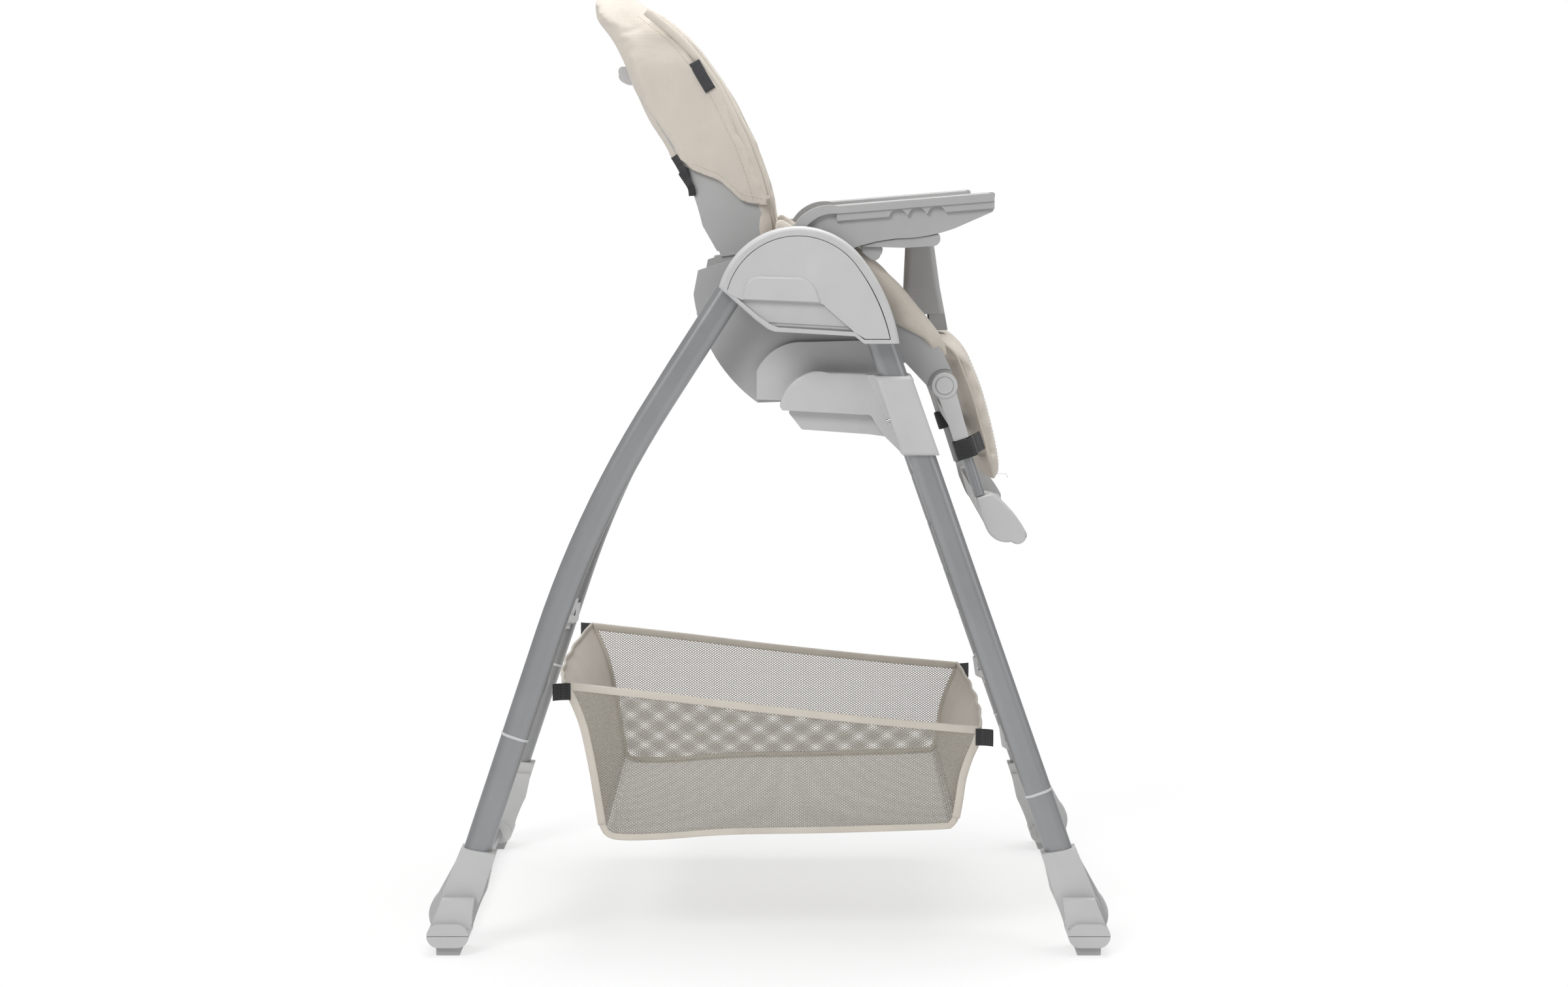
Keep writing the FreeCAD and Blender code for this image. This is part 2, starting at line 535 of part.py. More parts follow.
def crotch_post():
    """Tapered post between the child's legs, from the cross bar to the seat floor and over its nose."""
    levels = [(772.0, 158.0, 190.0, 20.0), (722.0, 156.0, 197.0, 22.0), (690.5, 156.0, 203.0, 25.0)]
    sections = []
    for z, rear, front, half in levels:
        corner = 7.0
        plate = block((rear, front), (-half, half), (z, z + 1.0))
        plate = plate.makeFillet(corner, [e for e in plate.Edges if e.BoundBox.ZLength > 0.5])
        lowest = min(plate.Faces, key=lambda f: f.CenterOfMass.z)
        sections.append(lowest.OuterWire)
    tongue = wide_prism(outline((184.0, 691.5), (202.5, 691.5), (206.0, 672.0), (186.0, 672.0)), 24.0)
    return Part.makeLoft(sections[::-1], True, True).fuse(tongue).removeSplitter()


def seat_cushion():
    """Soft pad on the seat floor, notched for the crotch post."""
    pad = wide_prism(outline((18.0, 689.0), (168.0, 689.0), ((173.5, 691.0), (171.0, 697.0)),
                             (146.0, 708.0),
                             ((136.0, 712.0), (122.0, 713.0)), (18.0, 713.0)), 182.0)
    return pad.cut(block((150.0, 230.0), (-30.0, 30.0), (680.0, 720.0)))


def side_pad():
    """Soft wing over a side panel: inner pad with its raised shoulder, front edge and outer flap."""
    inner_face = outline((8.0, 690.0), (8.0, 758.0), (88.0, 758.0), (94.0, 765.5), (167.0, 693.0),
                         (167.0, 690.0))
    inner = right_prism(inner_face, 185.0, SHELL_IN - GAP)
    shoulder_face = outline((8.0, 750.0), (5.0, 804.0), ((14.0, 803.0), (42.0, 791.0)), (86.0, 762.0),
                            (86.0, 750.0))
    shoulder = right_prism(shoulder_face, 185.0, ARM_IN - 1.0)
    edge_face = outline((93.0, 763.5), (99.0, 768.0), (192.0, 677.0), ((200.0, 664.0), (203.5, 648.0)),
                        (199.0, 648.0), ((192.5, 661.5), (182.5, 673.5)))
    edge = right_prism(edge_face, 186.0, 211.5)
    flap_face = outline((92.0, 763.0), (97.0, 766.0), (188.0, 675.0), ((196.0, 662.0), (201.0, 649.0)),
                        (188.0, 650.0), (172.0, 661.0), (145.0, 672.0), (110.0, 674.0), (78.0, 758.0))
    flap = right_prism(flap_face, SHELL_OUT + GAP, 211.0)
    return edge.fuse([flap, inner, shoulder]).removeSplitter()


def lap_harness():
    """Waist straps and crotch strap with the buckle, lying on the seat cushion."""
    strap = block((30.0, 55.0), (-181.0, -34.0), (713.6, 715.2))
    crotch = block((70.0, 148.0), (-12.0, 12.0), (713.6, 715.2))
    buckle = block((28.0, 70.0), (-33.0, 33.0), (713.6, 724.0))
    buckle = buckle.makeFillet(4.0, [e for e in buckle.Edges if e.BoundBox.ZLength > 5.0])
    return Part.makeCompound([strap, mirrored(strap), crotch, buckle])


# ---------------------------------------------------------------- backrest
def back_rear(shift):
    """Steps of the rear line of the back shell, from its foot to its crown, moved forwards."""
    def moved(x, z):
        return (x + shift, z)

    return [moved(-57.0, 767.0), moved(-73.0, 795.0), (moved(-88.0, 843.0), moved(-118.0, 900.0)),
            (moved(-146.0, 955.0), moved(-162.0, 1000.0)), (moved(-170.0, 1022.0), moved(-182.0, 1034.0))]


def back_face(grow, top):
    """Side profile of the back shell with its side wings; its rear line can move backwards."""
    return outline(*back_rear(-grow), (-165.0, top), ((-110.0, 1003.0), (-72.0, 962.0)),
                   ((-28.0, 885.0), (-7.0, 815.0)), (-4.0, 787.0), (-20.0, 772.0))


def back_mask(half, high):
    return rounded_slab(half, 690.0, high, 95.0, (-260.0, 60.0))


def back_shell():
    """Moulded back: a curved wall with side wings, and two arms down to the recline pivots."""
    wall, bar_top, reach = 4.0, 776.0, 60.0
    outer = wide_prism(back_face(0.0, 1038.0), BACK_Y).common(back_mask(BACK_Y, 1036.5))
    hollow_face = outline((-57.0, bar_top), *back_rear(wall)[1:], (-150.0, 1060.0), (reach, 1060.0),
                          (reach, bar_top))
    hollow = wide_prism(hollow_face, BACK_Y - wall).common(back_mask(BACK_Y - wall, 1032.0))
    shell = outer.cut(hollow)
    arm_face = outline((-56.0, 769.0), (-22.0, 774.0), on_circle(BACK_PIVOT, 14.0, 10.0),
                       (on_circle(BACK_PIVOT, 14.0, 270.0), on_circle(BACK_PIVOT, 14.0, 190.0)))
    pivot_arm = right_prism(arm_face, BACK_Y - 14.0, BACK_Y)
    pivot_arm = pivot_arm.cut(rod(4.0 + FIT, BACK_PIVOT, BACK_Y - 20.0, BACK_Y + 5.0))
    for height in (752.0, 760.0):
        rib = outline((-60.0, height), (-26.0, height + 4.0), (-26.0, height + 6.0),
                      (-60.0, height + 2.0))
        pivot_arm = pivot_arm.fuse(right_prism(rib, BACK_Y - 12.0, BACK_Y + 2.0))
    slot = block((-200.0, -120.0), (-36.0, 36.0), (953.0, 986.0))
    return shell.fuse([pivot_arm, mirrored(pivot_arm)]).removeSplitter().cut(slot)


def back_pin():
    """Pivot pin of the back in its seat boss."""
    return rod(4.0, BACK_PIVOT, BACK_Y - 16.0, SHELL_IN - 0.5)


def back_cover():
    """Fabric sleeve over the upper part of the back shell."""
    skin, clear = 3.0, 0.4
    outer = wide_prism(outline((-95.0, 862.0), (-122.0, 898.0), ((-150.0, 953.0), (-166.0, 1000.0)),
                               ((-174.0, 1024.0), (-190.0, 1038.0)), ((-192.0, 1049.0), (-180.0, 1050.0)),
                               (-160.0, 1050.0), ((-110.0, 1010.0), (-72.0, 962.0)),
                               ((-28.0, 885.0), (-7.0, 815.0)), (-40.0, 832.0),
                               (-62.0, 850.0)), BACK_Y + skin)
    outer = outer.common(back_mask(BACK_Y + skin, 1050.0))
    inner = wide_prism(back_face(clear, 1038.5), BACK_Y + clear).common(back_mask(BACK_Y + clear, 1038.5))
    open_front = wide_prism(outline((-7.0, 800.0), ((-28.0, 885.0), (-72.0, 962.0)),
                                    ((-110.0, 1003.0), (-165.0, 1038.5)), (-165.0, 1060.0),
                                    (60.0, 1060.0),
                                    (60.0, 800.0)), BACK_Y + 10.0)
    slot = block((-200.0, -120.0), (-38.0, 38.0), (950.0, 988.0))
    return outer.cut(inner).cut(open_front).cut(slot)


def back_cushion():
    """Padded front of the back, from the seat cushion to above the head."""
    face = outline((-5.0, 735.0), (12.0, 735.0), ((12.0, 790.0), (2.0, 834.0)), ((-30.0, 925.0),
                                                                                 (-68.0, 984.0)),
                   ((-102.0, 1020.0), (-150.0, 1049.0)), (-164.0, 1040.0), ((-109.0, 1005.0),
                                                                            (-71.0, 963.0)),
                   ((-27.0, 886.0), (-6.0, 815.0)), (-3.0, 787.0), (-5.0, 772.0))
    return wide_prism(face, BACK_Y - 4.0).common(back_mask(BACK_Y - 4.0, 1049.5))


def recline_handle():
    """Grab handle behind the head that releases the recline."""
    grip_face = outline((-172.0, 966.0), ((-171.0, 972.0), (-166.0, 973.5)), (-153.0, 976.0),
                        (-151.0, 962.0),
                        (-155.0, 957.0), ((-167.0, 955.5), (-172.0, 961.0)))
    grip = wide_prism(grip_face, 34.0)
    tongue = wide_prism(outline((-156.0, 962.0), (-112.0, 962.0), (-112.0, 967.0), (-156.0, 967.0)), 20.0)
    return grip.fuse(tongue).removeSplitter()


def recline_rod():
    """Flat rod inside the back that carries the handle's pull to the recline lock."""
    start, end = V(-116.0, 0, 958.0), V(-52.0, 0, 790.0)
    along = (end - start).normalize()
    return Part.makeCylinder(3.0, (end - start).Length, start, along)


def strap_slider():
    """Adjuster buckle of the cover's tension strap at the rear edge of the back."""
    return right_prism(outline((-99.0, 851.0), (-95.0, 861.5), (-88.0, 858.0), (-83.0, 836.0),
                               (-89.0, 836.0)),
                       BACK_Y + 0.5, BACK_Y + 5.0)


def shoulder_harness():
    """Shoulder straps with their pads, lying on the front of the back cushion."""
    strap_face = outline((-9.5, 880.0), ((6.0, 829.0), (14.0, 788.0)), (14.0, 742.0), (15.6, 742.0),
                         (15.6, 788.0),
                         ((7.6, 829.4), (-8.0, 880.5)))
    strap = right_prism(strap_face, 38.0, 63.0)
    pad_face = outline((-4.5, 868.0), ((8.0, 829.0), (16.2, 790.0)), (21.2, 790.0), ((13.0, 830.0),
                                                                                     (0.5, 870.0)))
    return both(strap, right_prism(pad_face, 33.0, 68.0))


# ---------------------------------------------------------------- leg rest
CALF = (math.sin(CALF_LEAN), -math.cos(CALF_LEAN))


def along_calf(distance, offset=0.0):
    """Point down the leg rest from its pivot; the offset is towards the front."""
    return (LEGREST_PIVOT[0] + CALF[0] * distance - CALF[1] * offset,
            LEGREST_PIVOT[1] + CALF[1] * distance + CALF[0] * offset)


def legrest_socket():
    """Hinge hub of the leg rest with the socket for its tube."""
    hub = rod(HUB_R, LEGREST_PIVOT, SHELL_OUT - 1.5, SHELL_OUT + 5.0)
    hub = hub.makeFillet(1.2, [e for e in hub.Edges if abs(e.BoundBox.YMin + SHELL_OUT + 5.0) < 0.01
                               and abs(e.BoundBox.YMax + SHELL_OUT + 5.0) < 0.01])
    pin = rod(4.0, LEGREST_PIVOT, SHELL_IN - 2.0, SHELL_OUT - 1.5)
    arm_face = outline(along_calf(2.0, -10.5), along_calf(2.0, 10.5), along_calf(62.0, 8.0),
                       along_calf(62.0, -8.0))
    arm_plate = right_prism(arm_face, SHELL_OUT - 1.5, SHELL_OUT + 3.5)
    start, end = along_calf(19.5), along_calf(62.0)
    socket = oval_bar(at(*start, y=-CALF_TUBE_Y), at(*end, y=-CALF_TUBE_Y), 18.0, 17.0)
    bore = oval_bar(at(*along_calf(23.0), y=-CALF_TUBE_Y), at(*along_calf(63.0), y=-CALF_TUBE_Y),
                    13.0, 13.0 - 1e-3)
    body = hub.fuse([pin, arm_plate, socket]).removeSplitter().cut(bore)
    return body.cut(rod(BUTTON_R + 0.3, LEGREST_PIVOT, SHELL_OUT, SHELL_OUT + 6.0))


def legrest_button():
    """Push button in the hub that frees the leg rest."""
    button = rod(BUTTON_R, LEGREST_PIVOT, SHELL_OUT + 3.2, SHELL_OUT + 6.3)
    return button.makeFillet(0.8, [e
                                   for e in button.Edges if abs(e.BoundBox.YMin + SHELL_OUT + 6.3) < 0.01
                                   and abs(e.BoundBox.YMax + SHELL_OUT + 6.3) < 0.01])


def footrest_tube():
    """Tube that telescopes out of the leg rest socket."""
    start, direction = at(*along_calf(25.0), y=-CALF_TUBE_Y), V(CALF[0], 0, CALF[1])
    outer, inner, length = 6.0, 4.8, 103.0
    return Part.makeCylinder(outer, length, start, direction).cut(
        Part.makeCylinder(inner, length, start, direction))


def footplate():
    """Moulded foot plate across the two tubes, with an end block on each."""
    end_face = outline((229.0, 497.0), (246.0, 502.0), ((270.0, 480.0), (284.0, 459.0)),
                       ((283.0, 450.0), (268.0, 448.0)), ((252.0, 450.0), (240.0, 463.0)), (233.0, 480.0))
    end_block = right_prism(end_face, 192.0, 211.0)
    end_block = end_block.makeFillet(2.5, [e for e in end_block.Edges if e.BoundBox.YLength < 0.01
                                           and abs(e.BoundBox.YMin + 211.0) < 0.01])
    socket = Part.makeCylinder(6.0, 40.0, at(*along_calf(103.0), y=-CALF_TUBE_Y), V(CALF[0], 0, CALF[1]))
    end_block = end_block.cut(socket)
    tread = outline((244.0, 462.0), ((262.0, 463.0), (281.0, 458.0)), ((282.0, 451.0), (268.0, 449.0)),
                    ((254.0, 451.0), (243.0, 459.0)))
    back_plate = outline((233.0, 492.0), (238.0, 493.5), (249.0, 463.0), (242.0, 462.0))
    between = [wide_prism(face, 192.0) for face in (tread, back_plate)]
    return end_block.fuse([mirrored(end_block), *between]).removeSplitter()


def legrest_panel():
    """Cross panel that ties the two sockets together behind the calf cushion."""
    face = outline(along_calf(44.0, -4.0), along_calf(44.0, 0.0), along_calf(62.0, 0.0),
                   along_calf(62.0, -4.0))
    return wide_prism(face, 193.5)


def legrest_cushion():
    """Calf cushion in front of the leg rest tubes, hanging from the seat's front edge."""
    face = outline((206.0, 664.0), ((226.0, 648.0), (238.0, 620.0)), ((252.0, 575.0), (262.0, 524.0)),
                   ((263.0, 508.0), (257.0, 503.0)), ((240.0, 514.0), (231.0, 532.0)), (221.0, 569.0),
                   (214.0, 608.0), (209.0, 630.0))
    return wide_prism(face, 176.0)


def legrest_strap():
    """Elastic loop that holds the calf cushion to a tube."""
    top, base = 62.5, 85.0
    face = outline(along_calf(top, -11.0), along_calf(top, 12.5), along_calf(base, 12.5),
                   along_calf(base, -11.0))
    hollow = outline(along_calf(top - 1.0, -8.6), along_calf(top - 1.0, 10.0), along_calf(base + 1.0,
                                                                                          10.0),
                     along_calf(base + 1.0, -8.6))
    return right_prism(face, 192.5, 213.5).cut(right_prism(hollow, 194.5, 211.5))


# ---------------------------------------------------------------- basket
def basket():
    """Fabric basket between the four legs: an open tub."""
    outer = outline((-225.0, 290.0), ((-202.0, 240.0), (-194.0, 190.0)), (-185.0, 134.0),
                    ((-180.0, 121.0), (-166.0, 117.0)), (-20.0, 123.0), (193.0, 129.0),
                    ((206.0, 131.0), (211.0, 142.0)), ((216.0, 190.0), (235.0, 239.0)))
    inner = outline((-222.0, 300.0), ((-198.5, 240.0), (-191.0, 190.0)), (-182.0, 136.0),
                    ((-177.0, 124.0), (-165.0, 120.0)), (-20.0, 126.0), (192.0, 132.0),
                    ((203.5, 134.0), (208.0, 143.0)), ((213.0, 190.0), (232.0, 248.0)))
    return wide_prism(outer, BASKET_Y).cut(wide_prism(inner, BASKET_Y - CLOTH))


def basket_webbing(x, z, side):
    """Webbing loop from a basket corner towards its hook."""
    face = outline((x, z - 12.0), (x + 14.0 * side, z - 9.0), (x + 14.0 * side, z + 9.0), (x, z + 12.0))
    return right_prism(face, BASKET_Y + 0.5, 227.5)


# ---------------------------------------------------------------- all the pieces
def main():
    rear_hook = (-247.0, 302.0)
    front_hook = (262.0, 233.0)

    pair("front_leg", front_leg())
    save("front_leg_rings", both(leg_ring(front_x(178.0), 178.0, FRONT_LEAN)))
    pair("front_foot", foot(1))
    save("front_foot_pads", both(foot_pad(1)))
    save("front_cross_tube", cross_tube(1))
    pair("hinge_rim", hinge_rim())
    pair("hinge_cover", hinge_cover())
    save("hinge_plates", both(hinge_plate()))
    save("hinge_pins", both(hinge_pin()))
    pair("fold_lever", fold_lever())
    save("basket_hooks_front", both(basket_hook(*front_hook, FRONT_LEAN, 1)))

    pair("rear_leg", rear_leg())
    ring_z = 240.0
    ring_x = -FOOT_X + (ring_z - FOOT_Z) * math.tan(REAR_LOW_LEAN)
    save("rear_leg_rings", both(leg_ring(ring_x, ring_z, -REAR_LOW_LEAN)))
    pair("rear_foot", foot(-1))
    save("rear_foot_pads", both(foot_pad(-1)))
    save("rear_cross_tube", cross_tube(-1))
    save("basket_hooks_rear", both(basket_hook(*rear_hook, REAR_LOW_LEAN, -1)))

    save("seat_shell", seat_shell())
    save("seat_underside", seat_underside())
    pair("carriage", carriage())
    pair("lock_pin", lock_pin())
    pair("height_lever", height_lever())
    pair("arm", arm())
    save("arm_covers", both(arm_cover()))
    save("arm_screws", both(*[arm_screw(x, z) for x, z in ARM_SCREWS]))
    save("cross_bar", cross_bar())
    save("crotch_post", crotch_post())
    save("seat_cushion", seat_cushion())
    pair("side_pad", side_pad())
    save("lap_harness", lap_harness())

    save("back_shell", back_shell())
    save("back_pins", both(back_pin()))
    save("back_cover", back_cover())
    save("back_cushion", back_cushion())
    save("recline_handle", recline_handle())
    save("recline_rod", recline_rod())
    save("strap_sliders", both(strap_slider()))
    save("shoulder_harness", shoulder_harness())

    save("legrest_sockets", both(legrest_socket()))
    pair("legrest_button", legrest_button())
    save("legrest_panel", legrest_panel())
    save("legrest_cushion", legrest_cushion())
    save("legrest_straps", both(legrest_strap()))
    save("footrest_tubes", both(footrest_tube()))
    save("footplate", footplate())

    save("basket", basket())
    save("basket_webbing", both(basket_webbing(-224.0, 283.0, -1), basket_webbing(234.0, 232.0, 1)))


main()
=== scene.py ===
import math

import bmesh
import bpy
import numpy as np
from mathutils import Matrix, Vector, noise
from mathutils.bvhtree import BVHTree


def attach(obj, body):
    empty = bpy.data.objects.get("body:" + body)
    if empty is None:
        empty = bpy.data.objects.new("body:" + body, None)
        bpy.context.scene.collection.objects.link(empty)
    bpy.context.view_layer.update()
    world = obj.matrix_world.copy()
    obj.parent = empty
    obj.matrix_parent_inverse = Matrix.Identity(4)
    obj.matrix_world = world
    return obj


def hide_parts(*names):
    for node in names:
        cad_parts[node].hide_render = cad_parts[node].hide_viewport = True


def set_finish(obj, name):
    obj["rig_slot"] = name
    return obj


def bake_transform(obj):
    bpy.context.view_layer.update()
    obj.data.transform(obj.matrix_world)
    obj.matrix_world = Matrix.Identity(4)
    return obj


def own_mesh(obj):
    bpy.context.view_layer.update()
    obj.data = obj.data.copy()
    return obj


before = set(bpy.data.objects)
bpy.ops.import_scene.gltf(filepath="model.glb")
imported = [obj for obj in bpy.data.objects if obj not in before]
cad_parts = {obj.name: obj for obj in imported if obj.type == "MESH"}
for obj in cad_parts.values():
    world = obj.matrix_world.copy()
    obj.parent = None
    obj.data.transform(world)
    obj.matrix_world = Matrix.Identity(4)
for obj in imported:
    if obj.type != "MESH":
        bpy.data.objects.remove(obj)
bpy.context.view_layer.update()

MM = 0.001
SIDES = (("right", -1), ("left", 1))


# ---------------------------------------------------------------- materials
def linear(*srgb):
    """Linear colour of 0-255 screen values."""
    def one(c):
        c /= 255.0
        return c / 12.92 if c <= 0.04045 else ((c + 0.055) / 1.055) ** 2.4
    return (*[one(c) for c in srgb], 1.0)


def shades(base, shift):
    """A slightly darker and a slightly lighter colour."""
    dark = tuple(c * (1 - shift) for c in base[:3]) + (1.0,)
    light = tuple(min(1.0, c * (1 + shift)) for c in base[:3]) + (1.0,)
    return dark, light


class Finish:
    """A node material built step by step around one Principled shader."""

    def __init__(self, name, roughness, metallic=0.0):
        self.material = bpy.data.materials.new(name)
        self.material.use_nodes = True
        self.tree = self.material.node_tree
        self.shader = next(n for n in self.tree.nodes if n.type == "BSDF_PRINCIPLED")
        self.shader.inputs["Roughness"].default_value = roughness
        self.shader.inputs["Metallic"].default_value = metallic
        self.position = self.node("ShaderNodeTexCoord").outputs["Object"]

    def node(self, kind, **values):
        made = self.tree.nodes.new(kind)
        for key, value in values.items():
            setattr(made, key, value)
        return made

    def feed(self, node, **inputs):
        """Sets or links inputs; an underscore in a name stands for a space, and a digit name is an index."""
        for key, value in inputs.items():
            socket = node.inputs[int(key[1:])] if key[0] == "i" and key[1:].isdigit() \
                else node.inputs[key.replace("_", " ")]
            if isinstance(value, bpy.types.NodeSocket):
                self.tree.links.new(value, socket)
            else:
                socket.default_value = value
        return node

    def noise(self, scale, detail=3.0, roughness=0.55, stretch=None):
        vector = self.position
        if stretch:
            vector = self.feed(self.node("ShaderNodeMapping"), Vector=vector, Scale=stretch).outputs[0]
        texture = self.feed(self.node("ShaderNodeTexNoise"), Vector=vector, Scale=scale, Detail=detail,
                            Roughness=roughness)
        return texture.outputs["Fac"]

    def math(self, operation, *values):
        node = self.node("ShaderNodeMath", operation=operation)
        return self.feed(node, **{f"i{k}": value for k, value in enumerate(values)}).outputs[0]

    def spread(self, value, low, high, to_low, to_high):
        return self.feed(self.node("ShaderNodeMapRange"), Value=value, From_Min=low, From_Max=high,
                         To_Min=to_low, To_Max=to_high).outputs[0]

    def mix(self, factor, a, b):
        node = self.node("ShaderNodeMix", data_type="RGBA")
        return self.feed(node, i0=factor, i6=a, i7=b).outputs[2]

    def bands(self, pitch, direction, profile="SIN"):
        """Stripes of a given pitch in metres along an axis of the frame."""
        wave = self.node("ShaderNodeTexWave", bands_direction=direction, wave_profile=profile)
        return self.feed(wave, Vector=self.position, Scale=2 * math.pi / (20.0 * pitch)).outputs["Fac"]

    def bump(self, height, strength, distance, normal=None):
        node = self.feed(self.node("ShaderNodeBump"), Height=height, Strength=strength, Distance=distance)
        if normal is not None:
            self.feed(node, Normal=normal)
        return node.outputs[0]

    def colour(self, value):
        self.feed(self.shader, Base_Color=value)

    def surface(self, normal):
        self.feed(self.shader, Normal=normal)


def moulded(name, base, roughness, grain=0.12, edge=0.6, metallic=0.0, edge_colour=None, shift=0.035,
            coat=0.0):
    """Hard part: fine grain, faint colour drift, softened edges that are slightly worn."""
    finish = Finish(name, roughness, metallic)
    drift = finish.noise(14.0, 4.0)
    dark, light = shades(base, shift)
    toned = finish.mix(finish.spread(drift, 0.35, 0.65, 0.0, 1.0), dark, light)
    soft = finish.feed(finish.node("ShaderNodeBevel", samples=4), Radius=edge * MM).outputs[0]
    plain = finish.node("ShaderNodeNewGeometry").outputs["Normal"]
    turn = finish.feed(finish.node("ShaderNodeVectorMath", operation="DOT_PRODUCT"), i0=soft, i1=plain)
    worn = finish.spread(turn.outputs["Value"], 1.0, 0.86, 0.0, 0.75)
    worn = finish.math("MULTIPLY", worn, finish.spread(finish.noise(90.0, 5.0), 0.4, 0.62, 0.25, 1.0))
    rub = edge_colour or tuple(min(1.0, c * 1.16 + 0.02) for c in base[:3]) + (1.0,)
    finish.colour(finish.mix(worn, toned, rub))
    scuffs = finish.noise(55.0, 6.0, 0.7)
    finish.feed(finish.shader, Roughness=finish.spread(scuffs, 0.3, 0.7, roughness - 0.06, roughness + 0.07))
    finish.surface(finish.bump(finish.noise(1500.0, 2.0), grain, 0.2 * MM, soft))
    if coat:
        finish.shader.inputs["Coat Weight"].default_value = coat
        finish.shader.inputs["Coat Roughness"].default_value = 0.25
    return finish.material


def cloth(name, base, pitch=0.9, roughness=0.86, depth=0.35, sheen=0.25, shift=0.05):
    """Woven fabric: threads on every face direction, slubs, and slow colour drift."""
    finish = Finish(name, roughness)
    weave = finish.math("ADD", finish.math("ADD", finish.bands(pitch * MM, "X"), finish.bands(pitch * MM, "Y")),
                        finish.bands(pitch * MM, "Z"))
    slub = finish.noise(420.0, 3.0, 0.6, (1.0, 0.35, 1.0))
    height = finish.math("ADD", weave, slub)
    drift = finish.noise(22.0, 5.0, 0.6)
    dark, light = shades(base, shift)
    tone = finish.mix(finish.spread(drift, 0.3, 0.7, 0.0, 1.0), dark, light)
    gap = tuple(c * 0.82 for c in base[:3]) + (1.0,)
    finish.colour(finish.mix(finish.spread(weave, 0.9, 0.2, 0.0, 0.6), tone, gap))
    finish.feed(finish.shader, Roughness=finish.spread(slub, 0.3, 0.7, roughness - 0.07, roughness + 0.06))
    creases = finish.noise(38.0, 4.0, 0.5, (1.0, 1.0, 0.6))
    under = finish.bump(creases, 0.22, 2.2 * MM)
    finish.surface(finish.bump(height, depth, 0.25 * MM, under))
    finish.shader.inputs["Sheen Weight"].default_value = sheen
    finish.shader.inputs["Sheen Roughness"].default_value = 0.5
    return finish.material


def ribbed(name, base, pitch, direction, roughness=0.75):
    """Narrow webbing with ribs across it and a slight fuzz."""
    finish = Finish(name, roughness)
    ribs = finish.math("ADD", finish.bands(pitch * MM, direction), finish.bands(pitch * 1.6 * MM, "Z"))
    fuzz = finish.noise(900.0, 2.0)
    light = tuple(min(1.0, c * 1.9 + 0.004) for c in base[:3]) + (1.0,)
    finish.colour(finish.mix(finish.spread(ribs, 0.4, 1.6, 0.0, 1.0), base, light))
    finish.feed(finish.shader, Roughness=finish.spread(fuzz, 0.3, 0.7, roughness - 0.08, roughness + 0.08))
    finish.surface(finish.bump(finish.math("ADD", ribs, fuzz), 0.5, 0.3 * MM))
    finish.shader.inputs["Sheen Weight"].default_value = 0.2
    return finish.material


def net(name, base, along, up, wide=4.2, tall=2.9, open_from=0.52):
    """Knitted net: two crossing sets of strands in the plane of two axes, open between them."""
    finish = Finish(name, 0.8)
    split = finish.feed(finish.node("ShaderNodeSeparateXYZ"), Vector=finish.position)
    a = finish.math("MULTIPLY", split.outputs[along], 2 * math.pi / (wide * MM))
    b = finish.math("MULTIPLY", split.outputs[up], 2 * math.pi / (tall * MM))
    first = finish.math("COSINE", finish.math("ADD", a, b))
    second = finish.math("COSINE", finish.math("SUBTRACT", a, b))
    strand = finish.math("MAXIMUM", first, second)
    finish.feed(finish.shader, Alpha=finish.math("GREATER_THAN", strand, open_from))
    shade = tuple(c * 0.7 for c in base[:3]) + (1.0,)
    finish.colour(finish.mix(finish.spread(strand, open_from, 1.0, 0.0, 1.0), shade, base))
    finish.surface(finish.bump(strand, 0.6, 0.5 * MM))
    return finish.material


BEIGE = linear(205, 197, 186)
PLASTIC = linear(194, 194, 194)
FINISHES = {
    "tube": moulded("tube_paint", linear(148, 149, 151), 0.34, grain=0.05, edge=0.4, metallic=0.35, shift=0.03,
                    coat=0.25),
    "ring": moulded("trim_ring", linear(205, 206, 207), 0.3, grain=0.02, edge=0.3),
    "plastic": moulded("light_plastic", PLASTIC, 0.42),
    "lever": moulded("lever_plastic", linear(190, 190, 190), 0.4, grain=0.16),
    "mid": moulded("mid_plastic", linear(172, 172, 172), 0.45),
    # Arms are the light plastic (their slot stays light_plastic); this darker copy at 172 grey paints shade
    # onto them.
    "arm": moulded("shaded_arm_plastic", linear(172, 172, 172), 0.43),
    "steel": moulded("steel", linear(196, 198, 202), 0.28, grain=0.03, edge=0.25, metallic=1.0),
    "rubber": moulded("pad_rubber", linear(168, 168, 168), 0.7, grain=0.3),
    "dark": moulded("dark_plastic", linear(44, 44, 46), 0.42, edge_colour=linear(78, 78, 80)),
    "fabric": cloth("seat_fabric", BEIGE),
    "binding": cloth("edge_binding", linear(210, 203, 192), pitch=0.7, depth=0.3, sheen=0.15),
    "basket_end": cloth("basket_fabric", linear(210, 201, 190), pitch=0.8, depth=0.25),
    "thread": cloth("thread", linear(197, 189, 177), pitch=0.4, depth=0.2, sheen=0.1),
    "webbing": ribbed("black_webbing", linear(36, 36, 38), 1.4, "Y"),
    "label": ribbed("label_tape", linear(46, 46, 50), 0.6, "X"),
    "net_side": net("net_side", linear(170, 164, 153), "X", "Z"),
    "net_floor": net("net_floor", linear(170, 164, 153), "X", "Y"),
}
SLOT = {"tube": "tube_paint", "ring": "trim_ring", "plastic": "light_plastic", "arm": "light_plastic",
        "lever": "lever_plastic", "mid": "mid_plastic", "steel": "steel", "rubber": "pad_rubber",
        "dark": "dark_plastic", "fabric": "seat_fabric", "binding": "seat_fabric",
        "basket_end": "seat_fabric", "thread": "seat_fabric", "webbing": "webbing", "label": "webbing",
        "net_side": "mesh_fabric", "net_floor": "mesh_fabric"}
